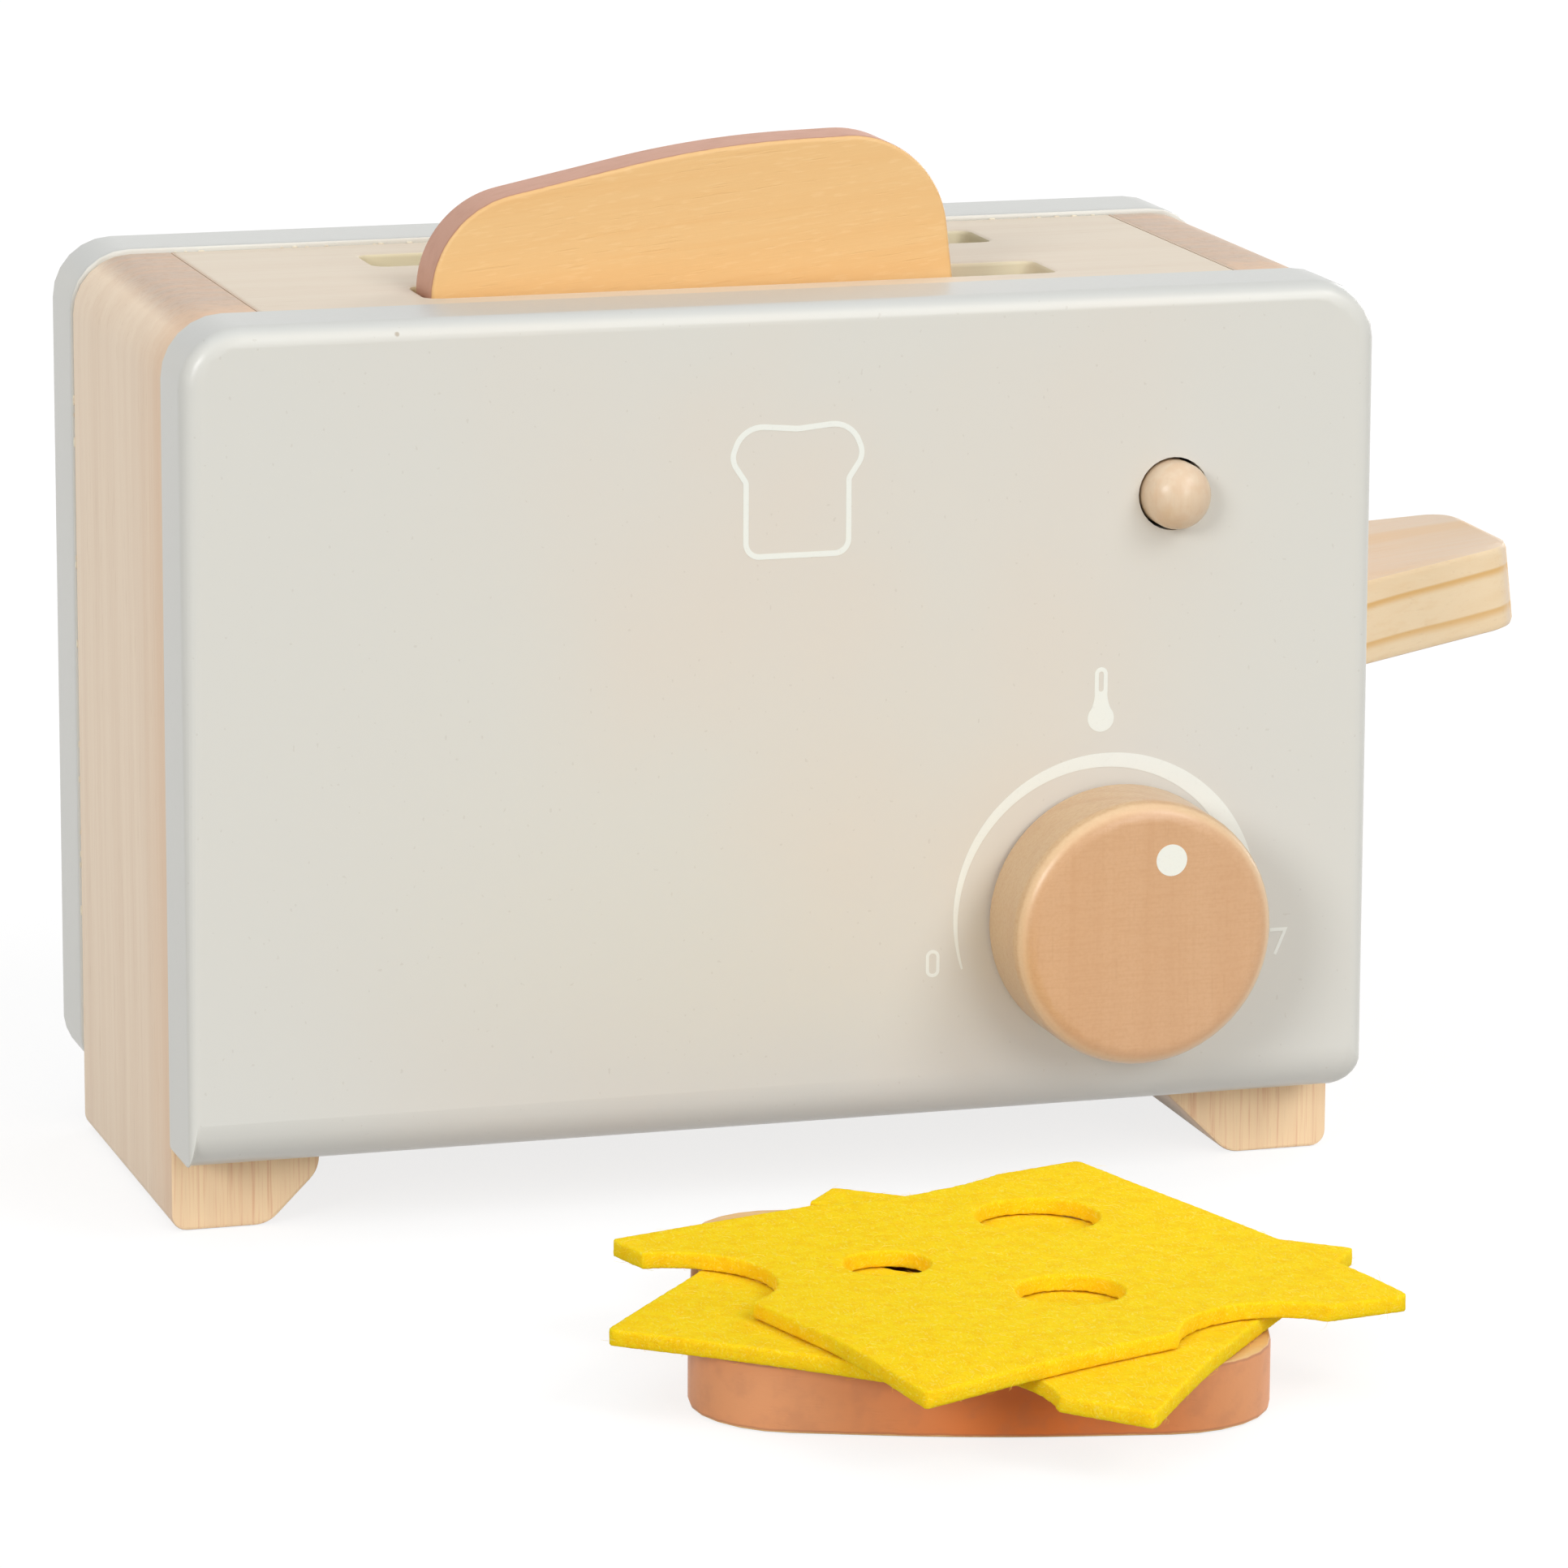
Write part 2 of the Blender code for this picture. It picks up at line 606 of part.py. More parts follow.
def lever_dowels(material, base):
    """Pivot in the right side board, and the cross dowel that the lever's arm rests on."""
    end = BOARD_Y - DOWEL_END_GAP
    place = (PIVOT_X, 0.0, LEVER_PIVOT_HEIGHT)
    pivot = solid("lever_pivot_dowel", rod(PIVOT_RADIUS, -end, end), material, base, place)
    x, z = rest_dowel_place()
    reach = INNER_Y + REST_DOWEL_DEPTH - DOWEL_END_GAP
    bar = rod(REST_DOWEL_RADIUS, -reach, reach, SMALL_STEPS)
    rest = solid("lever_rest_dowel", bar, material, base, (x, 0.0, z))
    for item in (pivot, rest):
        smooth(item)
    return pivot, rest


def knob_pieces(knob_wood, dowel_wood, steel, axis):
    """Knob on a dowel that runs in the panel, with a disc and a screw behind the panel."""
    back = -HALF_DEPTH - KNOB_GAP
    front = back - KNOB_THICKNESS
    profile = arc_profile(KNOB_RADIUS, front, KNOB_EDGE_RADIUS, 1, KNOB_EDGE_SEGMENTS)
    profile += reversed(arc_profile(KNOB_RADIUS, back, KNOB_BACK_EDGE_RADIUS, -1))
    knob = solid("knob", turned(profile, 2 * ROUND_STEPS), knob_wood, axis)
    smooth(knob)
    bore = rod(AXLE_RADIUS + DOWEL_CLEARANCE, back - KNOB_BORE_DEPTH, back + CUT_OVERRUN)
    cut(knob, "knob_bore_cutter", bore)
    disc_front = -INNER_Y + SEAT_GAP
    disc_back = disc_front + RETAINER_THICKNESS
    axle_front = back - KNOB_BORE_DEPTH + DOWEL_END_GAP
    axle_back = disc_front + RETAINER_THICKNESS * AXLE_STEP_SHARE
    axle = solid("knob_axle", rod(AXLE_RADIUS, axle_front, axle_back), dowel_wood, axis)
    smooth(axle)
    head_front = disc_back + SEAT_GAP
    tip = head_front - KNOB_SCREW_LENGTH
    pilot_radius = KNOB_SCREW_RADIUS + DOWEL_CLEARANCE
    pilot = rod(pilot_radius, tip - DOWEL_END_GAP, axle_back + CUT_OVERRUN, SMALL_STEPS)
    cut(axle, "axle_pilot_cutter", pilot)
    disc = solid("knob_retaining_disc", rod(RETAINER_RADIUS, disc_front, disc_back), dowel_wood, axis)
    smooth(disc)
    cup = rod(AXLE_RADIUS + DOWEL_CLEARANCE, disc_front - CUT_OVERRUN, axle_back + SEAT_GAP)
    hole = rod(pilot_radius, disc_front, disc_back + CUT_OVERRUN, SMALL_STEPS)
    cut(disc, "disc_cup_cutter", cup)
    cut(disc, "disc_hole_cutter", hole)
    sizes = (KNOB_SCREW_RADIUS, KNOB_SCREW_HEAD_RADIUS, KNOB_SCREW_HEAD_HEIGHT)
    screw = solid("knob_screw", screw_shape(*sizes, tip, head_front), steel, axis)
    smooth(screw)
    return knob, axle, disc, screw


def screw_shape(radius, head_radius, head_height, tip, head_front):
    """Pan-head screw along Y with its point at tip and its head on the far side of head_front."""
    head_back = head_front + head_height
    profile = [(0, tip), (radius, tip + radius), (radius, head_front), (head_radius, head_front)]
    profile += reversed(arc_profile(head_radius, head_back, head_height / 2, -1))
    return turned(profile, SMALL_STEPS)


def button_pieces(button_wood, dowel_wood, axis):
    """Push button with a domed tip and a thin tail, and the collar that keeps it in the panel."""
    tip = -HALF_DEPTH - BUTTON_PROUD
    profile = [(0, tip)]
    for step in range(1, BUTTON_DOME_STEPS + 1):
        angle = QUARTER_TURN * step / BUTTON_DOME_STEPS
        profile.append((BUTTON_RADIUS * math.sin(angle), tip + BUTTON_DOME * (1 - math.cos(angle))))
    tail_end = BRIDGE_BACK_Y - DOWEL_END_GAP
    profile += [(BUTTON_RADIUS, COLLAR_BACK_Y), (TAIL_RADIUS, COLLAR_BACK_Y), (TAIL_RADIUS, tail_end)]
    peg = solid("button_peg", turned(profile), button_wood, axis)
    bore = rod(BUTTON_RADIUS + DOWEL_CLEARANCE, -HALF_DEPTH, HALF_DEPTH)
    collar_bar = rod(COLLAR_RADIUS, BUTTON_SEAT_Y, COLLAR_BACK_Y)
    collar = solid("button_collar", collar_bar, dowel_wood, axis)
    cut(collar, "collar_bore_cutter", bore)
    for item in (peg, collar):
        smooth(item)
    return peg, collar


def least_gap(points, wire_radius, apart):
    """Least free gap of a wire to itself, between points that are at least some steps apart."""
    gaps = []
    for index, point in enumerate(points):
        gaps += [(other - point).length - 2 * wire_radius for other in points[index + apart:]]
    return min(gaps)


def button_spring(steel, axis):
    """Coil spring between the collar and the bridge, one unbroken round wire."""
    front = COLLAR_BACK_Y + SEAT_GAP + SPRING_WIRE_RADIUS
    back = BRIDGE_FRONT_Y - SEAT_GAP - SPRING_WIRE_RADIUS
    count = SPRING_TURNS * COIL_STEPS
    points = []
    for step in range(count + 1):
        turn = math.tau * step / COIL_STEPS
        y = front + (back - front) * step / count
        points.append(Vector((SPRING_RADIUS * math.cos(turn), y, SPRING_RADIUS * math.sin(turn))))
    gap = least_gap(points, SPRING_WIRE_RADIUS, COIL_STEPS // 2)
    print("button spring: least gap to itself (m)", round(gap, GAP_DIGITS))
    curve = bpy.data.curves.new("button_spring", "CURVE")
    curve.dimensions = "3D"
    curve.bevel_depth = SPRING_WIRE_RADIUS
    curve.bevel_resolution = 1
    curve.use_fill_caps = True
    spline = curve.splines.new("POLY")
    spline.points.add(len(points) - 1)
    for point, place in zip(spline.points, points):
        point.co = (*place, 1.0)
    curve.materials.append(steel)
    item = bpy.data.objects.new("button_spring", curve)
    bpy.context.collection.objects.link(item)
    item.parent = axis
    return item


def button_bridge(wood, steel, base):
    """Wooden bridge behind the panel that guides the tail, and the two screws that hold it."""
    place = (BUTTON_X, 0.0, BUTTON_Z)
    front = -INNER_Y + GLUE_GAP
    body = upright(prism(box_outline(BRIDGE_WIDTH, 2 * BRIDGE_HALF, 0), front, BRIDGE_BACK_Y))
    bridge = solid("button_bridge", body, wood, base, place)
    inside = 2 * (BRIDGE_HALF - BRIDGE_LEG)
    room_outline = box_outline(BRIDGE_WIDTH + 2 * CUT_OVERRUN, inside, 0)
    room = upright(prism(room_outline, front - CUT_OVERRUN, BRIDGE_FRONT_Y))
    cut(bridge, "bridge_room_cutter", room, place)
    guide = rod(TAIL_RADIUS + RUNNING_CLEARANCE, front, BRIDGE_BACK_Y + CUT_OVERRUN, SMALL_STEPS)
    cut(bridge, "bridge_guide_cutter", guide, place)
    pilots = []
    pieces = [bridge]
    head_front = BRIDGE_BACK_Y + SEAT_GAP
    tip = -INNER_Y - BRIDGE_SCREW_BITE
    for name, direction in (("bridge_screw_low", -1), ("bridge_screw_high", 1)):
        offset = (0.0, 0.0, direction * (BRIDGE_HALF - BRIDGE_LEG / 2))
        pilot_radius = BRIDGE_SCREW_RADIUS + DOWEL_CLEARANCE
        bore = rod(pilot_radius, front - CUT_OVERRUN, BRIDGE_BACK_Y + CUT_OVERRUN, SMALL_STEPS)
        pilots.append((bore, offset))
        sizes = (BRIDGE_SCREW_RADIUS, BRIDGE_SCREW_HEAD_RADIUS, BRIDGE_SCREW_HEAD_HEIGHT)
        seat = (BUTTON_X, 0.0, BUTTON_Z + offset[2])
        screw = solid(name, screw_shape(*sizes, tip, head_front), steel, base, seat)
        smooth(screw)
        pieces.append(screw)
    cut(bridge, "bridge_pilot_cutter", joined(pilots), place)
    return pieces


def toast_shape():
    """Slice of bread in XY, centred, with a slightly domed top edge and rounded corners."""
    x = TOAST_WIDTH / 2
    y = TOAST_HEIGHT / 2
    corners = [
        (-x, -y, TOAST_BOTTOM_RADIUS),
        (x, -y, TOAST_BOTTOM_RADIUS),
        (x, y - TOAST_DOME, TOAST_TOP_RADIUS),
        (0.0, y, TOAST_DOME_RADIUS),
        (-x, y - TOAST_DOME, TOAST_TOP_RADIUS),
    ]
    return filleted(corners)


def toast_seat():
    """Centre (x, z) of the standing slice in the lever's tilted frame.

    Its straight left edge keeps the named gap to the slot's end at the top board's surface.
    """
    slot_end = TOAST_END_GAP - SLOT_LENGTH / 2 - PIVOT_X
    rise = TOP_SURFACE - LEVER_PIVOT_HEIGHT
    edge = slot_end * math.cos(PITCH) + rise * math.sin(PITCH)
    return edge + TOAST_WIDTH / 2, LEVER_THICKNESS / 2 + SEAT_GAP + TOAST_HEIGHT / 2


def toast_in_slot(material, axis):
    """Slice that stands on the lever's arm in the front slot."""
    along, up = toast_seat()
    front = TOAST_FRONT_GAP - SLOT_WIDTH / 2
    data = upright(prism(toast_shape(), front, front + TOAST_THICKNESS))
    item = solid("toast_slice_in_slot", data, material, axis, (along, -SLOT_OFFSET, up))
    ease(item, TOAST_EDGE_RADIUS)
    smooth(item)
    return item


def toast_on_floor(material, base):
    """Slice that lies in front of the toaster."""
    place = (LOOSE_TOAST_X, -HALF_DEPTH - LOOSE_TOAST_AHEAD, 0.0)
    turn = (0.0, 0.0, math.radians(LOOSE_TOAST_TURN))
    data = prism(toast_shape(), 0, TOAST_THICKNESS)
    item = solid("toast_slice_loose", data, material, base, place, turn)
    ease(item, TOAST_EDGE_RADIUS)
    smooth(item)
    return item


def cheese_slice(name, x, ahead, turn, height, material, base):
    """Die-cut felt slice: a square with three round holes and round bites out of its sides."""
    outline = box_outline(CHEESE_SIDE, CHEESE_SIDE, CHEESE_CORNER_RADIUS, DOME_STEPS)
    place = (x, -HALF_DEPTH - ahead, height)
    rotation = (0.0, 0.0, math.radians(turn))
    item = solid(name, prism(outline, 0, CHEESE_THICKNESS), material, base, place, rotation)
    smooth(item)
    rounds = []
    for x_share, y_share, radius_share in CHEESE_ROUND_SHARES:
        steps = WIDE_BITE_STEPS if radius_share > WIDE_BITE_SHARE else BITE_STEPS
        circle = round_outline(radius_share * CHEESE_SIDE, steps)
        round_cutter = prism(circle, -CUT_OVERRUN, CHEESE_THICKNESS + CUT_OVERRUN)
        rounds.append((round_cutter, (x_share * CHEESE_SIDE, y_share * CHEESE_SIDE, 0.0)))
    cut(item, name + "_rounds_cutter", joined(rounds), place, rotation)
    return item


def centre_on_origin(base, solids):
    """Move the base so that the middle of the whole set's box is over the origin."""
    bpy.context.view_layer.update()
    graph = bpy.context.evaluated_depsgraph_get()
    corners = []
    for item in solids:
        seen = item.evaluated_get(graph)
        mesh = seen.to_mesh()
        corners += [seen.matrix_world @ vert.co for vert in mesh.vertices]
        seen.to_mesh_clear()
    base.location.x = -(min(c.x for c in corners) + max(c.x for c in corners)) / 2
    base.location.y = -(min(c.y for c in corners) + max(c.y for c in corners)) / 2
    bpy.context.view_layer.update()


def main():
    """Build every sub-part."""
    clear_scene()
    paint = finish("painted_panel", (0.74, 0.71, 0.65), 0.42)
    side_wood = finish("side_wood", (0.68, 0.50, 0.38), 0.55)
    top_wood = finish("top_wood", (0.80, 0.70, 0.55), 0.50)
    lever_wood = finish("lever_wood", (0.76, 0.58, 0.40), 0.50)
    knob_wood = finish("knob_wood", (0.70, 0.46, 0.26), 0.45)
    dowel_wood = finish("dowel_wood", (0.80, 0.63, 0.42), 0.55)
    bread = finish("bread_wood", (0.84, 0.55, 0.25), 0.50)
    felt = finish("cheese_felt", (1.0, 0.70, 0.01), 0.95)
    steel = finish("zinc_steel", (0.62, 0.62, 0.63), 0.30, 1.0)

    base = empty("toaster_base", (0.0, 0.0, 0.0), None)
    tilt = (0.0, -PITCH, 0.0)
    lever_axis = empty("lever_axis", (PIVOT_X, 0.0, LEVER_PIVOT_HEIGHT), base, tilt)
    knob_axis = empty("knob_axis", (KNOB_X, 0.0, KNOB_Z), base)
    button_axis = empty("button_axis", (BUTTON_X, 0.0, BUTTON_Z), base)

    left = side_board("left_side_board", -1, LEFT_BOARD_THICKNESS, LEG_CHAMFER, side_wood, base)
    right = side_board("right_side_board", 1, RIGHT_BOARD_THICKNESS, RIGHT_LEG_CHAMFER, side_wood, base)
    cut_lever_window(right)
    front_low = (PANEL_LOW_LEFT_RADIUS, PANEL_LOW_RIGHT_RADIUS)
    back_low = (BACK_LOW_CORNER_RADIUS, BACK_LOW_CORNER_RADIUS)
    solids = [
        panel("front_panel", -1, LEG_HEIGHT, front_low, paint, base),
        panel("back_panel", 1, LEG_HEIGHT - BACK_PANEL_DROP, back_low, paint, base),
        left,
        right,
        top_board(top_wood, base),
        bottom_board(dowel_wood, base),
        *panel_dowels("front_dowel_", -1, dowel_wood, base),
        *panel_dowels("back_dowel_", 1, dowel_wood, base),
        lever(lever_wood, lever_axis),
        *lever_dowels(dowel_wood, base),
        *knob_pieces(knob_wood, dowel_wood, steel, knob_axis),
        *button_pieces(dowel_wood, dowel_wood, button_axis),
        button_spring(steel, button_axis),
        *button_bridge(dowel_wood, steel, base),
        toast_in_slot(bread, lever_axis),
        toast_on_floor(bread, base),
    ]
    height = TOAST_THICKNESS + SEAT_GAP
    place = (CHEESE_LOWER_X, CHEESE_LOWER_AHEAD, CHEESE_LOWER_TURN)
    solids.append(cheese_slice("cheese_slice_lower", *place, height, felt, base))
    height += CHEESE_THICKNESS + SEAT_GAP
    place = (CHEESE_UPPER_X, CHEESE_UPPER_AHEAD, CHEESE_UPPER_TURN)
    solids.append(cheese_slice("cheese_slice_upper", *place, height, felt, base))
    centre_on_origin(base, solids)


main()
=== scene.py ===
"""Toy toaster with play food, finished for display.

The CAD model is the frame: its solids keep their places and shapes, and get their finishes here.
The felt slices, the slice in the slot, the printed marks and the glue are made here, and so are the
copies that take the place of the front panel and the spring. Metres, +Z up.
"""

import math
import random

import bmesh
import bpy
from bpy.props import FloatProperty, FloatVectorProperty, IntProperty, PointerProperty
from mathutils import Matrix, Vector, noise


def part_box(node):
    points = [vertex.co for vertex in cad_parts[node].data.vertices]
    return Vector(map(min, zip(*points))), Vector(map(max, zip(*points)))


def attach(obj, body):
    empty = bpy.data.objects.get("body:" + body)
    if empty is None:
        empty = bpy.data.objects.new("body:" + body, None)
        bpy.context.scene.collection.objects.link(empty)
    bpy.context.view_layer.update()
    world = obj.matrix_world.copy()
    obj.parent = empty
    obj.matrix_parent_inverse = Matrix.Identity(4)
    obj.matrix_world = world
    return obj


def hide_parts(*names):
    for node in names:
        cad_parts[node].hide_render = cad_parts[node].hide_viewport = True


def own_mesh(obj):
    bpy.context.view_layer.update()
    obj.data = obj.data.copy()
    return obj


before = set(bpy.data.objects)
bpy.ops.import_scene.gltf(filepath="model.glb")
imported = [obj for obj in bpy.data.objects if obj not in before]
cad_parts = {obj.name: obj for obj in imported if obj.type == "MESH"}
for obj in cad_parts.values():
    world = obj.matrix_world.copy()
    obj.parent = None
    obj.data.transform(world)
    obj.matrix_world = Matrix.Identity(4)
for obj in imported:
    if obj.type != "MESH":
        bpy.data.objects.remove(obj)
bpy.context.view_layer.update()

bl_info = {
    "name": "Toy Toaster Finishes",
    "version": (1, 0, 0),
    "blender": (4, 5, 0),
    "location": "3D View > Sidebar > Toaster",
    "description": "Finishes of a wooden toy toaster with bread and felt cheese",
    "category": "Object",
}

MILLIMETRE = 0.001
SHARP_ANGLE = math.radians(32)
MARKS_DROP = 0.129

# The tilt of the lever and the slice that stands on it, and the loose slice's turn
LEVER_TILT = math.radians(6.5)
LOOSE_TURN = math.radians(16.7)

# The front panel's outer corners, the widest round on the solid, and how much wider its rounds become
PANEL_CORNER = 0.0095
WIDEST_ROUND = 0.0024
TOP_ROUND_GROWTH = 2.14
RIGHT_ROUND_GROWTH = 1.3

# Places read from the frame; the printed marks' base line lies MARKS_DROP under the front panel's top
PANEL_LOW, PANEL_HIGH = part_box("front_panel")
BACK_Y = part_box("back_panel")[1].y
TOP_LOW, TOP_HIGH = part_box("top_board")
CENTRE_X = (PANEL_LOW.x + PANEL_HIGH.x) / 2
CENTRE_Y = (PANEL_LOW.y + BACK_Y) / 2
FRONT_Y = PANEL_LOW.y
MARKS_BASE_Z = PANEL_HIGH.z - MARKS_DROP


def mm(*values):
    """Millimetres as metres."""
    return tuple(value * MILLIMETRE for value in values)


def smooth_step(value, low, high):
    """0 at low, 1 at high and a soft ramp between."""
    share = max(0.0, min(1.0, (value - low) / (high - low)))
    return share * share * (3 - 2 * share)


def linear(colour):
    """Linear RGBA of a colour that is written as a screen shows it."""
    return (*(c / 12.92 if c <= 0.04045 else ((c + 0.055) / 1.055) ** 2.4 for c in colour), 1.0)


def tone(name, description, red, green, blue):
    """A colour setting, from the eight-bit numbers that a screen shows."""
    return FloatVectorProperty(
        name=name,
        description=description,
        subtype="COLOR_GAMMA",
        size=3,
        min=0.0,
        max=1.0,
        default=(red / 255, green / 255, blue / 255),
    )


def number(name, description, default, unit="NONE"):
    """A number setting."""
    return FloatProperty(name=name, description=description, default=default, unit=unit)


# Settings


class ToasterPaintSettings(bpy.types.PropertyGroup):
    """Paint of the two panels and the printed marks on them."""

    body: tone("Panel paint", "Main tone of the panels", 216, 215, 208)
    warm: tone("Warm drift", "Tone that the paint drifts to", 222, 211, 198)
    # Partly thin paint and partly a painted highlight: a lighter tone along the panels' edges
    edge: tone("Edge paint", "Paint where it runs thin over the edges", 228, 228, 220)
    # Painted shade: the faces that look up are painted greyer than the front
    upper: tone("Upper faces", "Paint on the faces that look up, greyed by dust", 204, 205, 201)
    bare: tone("Bare wood", "Wood that shows where the paint is nicked", 150, 128, 92)
    print_white: tone("Print", "Ink of the printed marks", 235, 238, 232)
    ink: number("Ink height", "How far a print stands proud", 0.00005, "LENGTH")
    stroke: number("Stroke", "Width of the digits' lines", 0.00052, "LENGTH")


class ToasterWoodSettings(bpy.types.PropertyGroup):
    """Tones of the bare woods and the glue."""

    side_pale: tone("Side board", "Pale tone of the side boards", 255, 233, 206)
    side_dark: tone("Side board grain", "Grain lines of the side boards", 222, 184, 150)
    side_peach: tone("Side board peach", "Heartwood tone near the boards' front edges", 236, 196, 158)
    side_end: tone("Side board end grain", "Top ends of the side boards", 201, 180, 162)
    # Partly the wood's own tone and partly painted light: the narrow faces are painted brighter to lift the
    # shade under the panel
    leg_front_tone_and_light: tone("Leg fronts", "Honey tone on the boards' narrow faces", 255, 224, 182)
    leg_streak: tone("Leg streaks", "Dark streaks on the boards' narrow faces", 212, 122, 72)
    top_pale: tone("Top board", "Pale tone of the top board", 226, 213, 194)
    top_dark: tone("Top board grain", "Grain of the top board", 214, 194, 172)
    slot_wall: tone("Slot walls", "Bare cut faces in the slots", 232, 222, 192)
    lever_pale: tone("Lever", "Pale tone of the lever", 245, 221, 184)
    lever_dark: tone("Lever grain", "Late wood lines of the lever", 228, 184, 120)
    lever_flat: tone("Lever top", "Tone of the lever's broad faces", 230, 210, 188)
    lever_end: tone("Lever end", "End grain of the lever", 238, 208, 164)
    knob_face: tone("Knob face", "Turned end of the knob", 212, 170, 130)
    knob_side: tone("Knob side", "Rim of the knob", 214, 182, 140)
    # Painted highlight: the lighter band on the knob's rounded rim
    knob_rim_highlight: tone("Knob rim", "Sanded edge of the knob", 244, 212, 170)
    knob_dark: tone("Knob fleck", "Flecks of the knob's wood", 200, 154, 112)
    button: tone("Button", "Tone of the push button", 223, 200, 172)
    glue: tone("Glue", "Dried glue in the joints", 236, 228, 206)
    dowel_pale: tone("Dowels", "Tone of the dowels and the inner woodwork", 232, 204, 164)
    dowel_dark: tone("Dowel grain", "Grain of the dowels and the button", 206, 168, 120)


class ToasterFoodSettings(bpy.types.PropertyGroup):
    """Bread and cheese."""

    crumb: tone("Bread face", "Bare face of the bread slices", 233, 191, 132)
    crumb_dark: tone("Bread fleck", "Flecks in the bread's wood", 226, 172, 106)
    crumb_light: tone("Bread light fleck", "Pale dashes in the bread's wood", 244, 208, 154)
    crust: tone("Crust paint", "Paint round the bread's edges", 205, 154, 130)
    crust_line: tone("Crust rim", "Line where the paint ends", 176, 120, 92)
    # Painted shade and bounce light: the middle of the loose slice's crust is darker and more orange, for
    # the cheese's shadow and the felt's bounce
    loose_mid_painted_shade_and_bounce: tone("Loose slice's warm crust", "Paint in the middle of its front edge", 233, 130, 62)
    # Crust paint of the loose slice, partly painted orange bounce light from the felt
    loose_end_paint_and_bounce: tone("Loose slice's crust", "Paint at the ends of the loose slice", 229, 158, 108)
    felt: tone("Felt", "Main tone of the cheese felt", 255, 213, 30)
    felt_deep: tone("Felt depth", "Deep tone between the fibres", 244, 172, 6)
    felt_light: tone("Felt fibre", "Light fibres on the felt", 255, 230, 112)
    side: number("Cheese side", "Side of the uncut square", 0.0838, "LENGTH")
    thickness: number("Felt thickness", "Thickness of the felt", 0.0026, "LENGTH")
    left_share: number("Area left", "Share of the square left by the cuts", 0.8536)
    droop: number("Droop", "How far the free corners hang", 0.0019, "LENGTH")
    voxel: number("Felt mesh", "Mesh step of the felt", 0.00042, "LENGTH")
    fibres: IntProperty(name="Fibres", description="Loose fibres on each slice", default=1500, min=0)


class ToasterStageSettings(bpy.types.PropertyGroup):
    """Camera, sky and lamps."""

    azimuth: number("Azimuth", "Camera's turn", math.radians(-16.714), "ROTATION")
    elevation: number("Elevation", "Camera's height angle", math.radians(12.494), "ROTATION")
    roll: number("Roll", "Camera's roll", math.radians(0.254), "ROTATION")
    distance: number("Distance", "Camera to its target", 1.2835, "LENGTH")
    lens: number("Lens", "Focal length in millimetres", 185.15, "CAMERA")
    world: number("Sky", "Strength of the even light from all round", 0.27)
    left: number("Left lamp", "Strength of the low lamp at the left", 1.06)
    right: number("Right lamp", "Strength of the high lamp at the right", 0.85)
    front: number("Front lamp", "Strength of the low lamp in front", 0.64)
    top: number("Top lamp", "Strength of the wide lamp above", 0.72)
    back: number("Back lamp", "Strength of the lamp behind", 1.15)


# Shader building


class Signal:
    """A socket whose values vary over a surface. Arithmetic on it adds Math nodes."""

    def __init__(self, graph, socket):
        self.graph = graph
        self.socket = socket

    def maths(self, operation, first, second):
        """One Math node."""
        return self.graph.node("ShaderNodeMath", {"operation": operation}, {0: first, 1: second})

    def __add__(self, other):
        return self.maths("ADD", self, other)

    def __radd__(self, other):
        return self.maths("ADD", other, self)

    def __sub__(self, other):
        return self.maths("SUBTRACT", self, other)

    def __rsub__(self, other):
        return self.maths("SUBTRACT", other, self)

    def __mul__(self, other):
        return self.maths("MULTIPLY", self, other)

    def __truediv__(self, other):
        return self.maths("DIVIDE", self, other)

    def __mod__(self, other):
        return self.maths("FLOORED_MODULO", self, other)

    def __abs__(self):
        return self.maths("ABSOLUTE", self, 0.0)


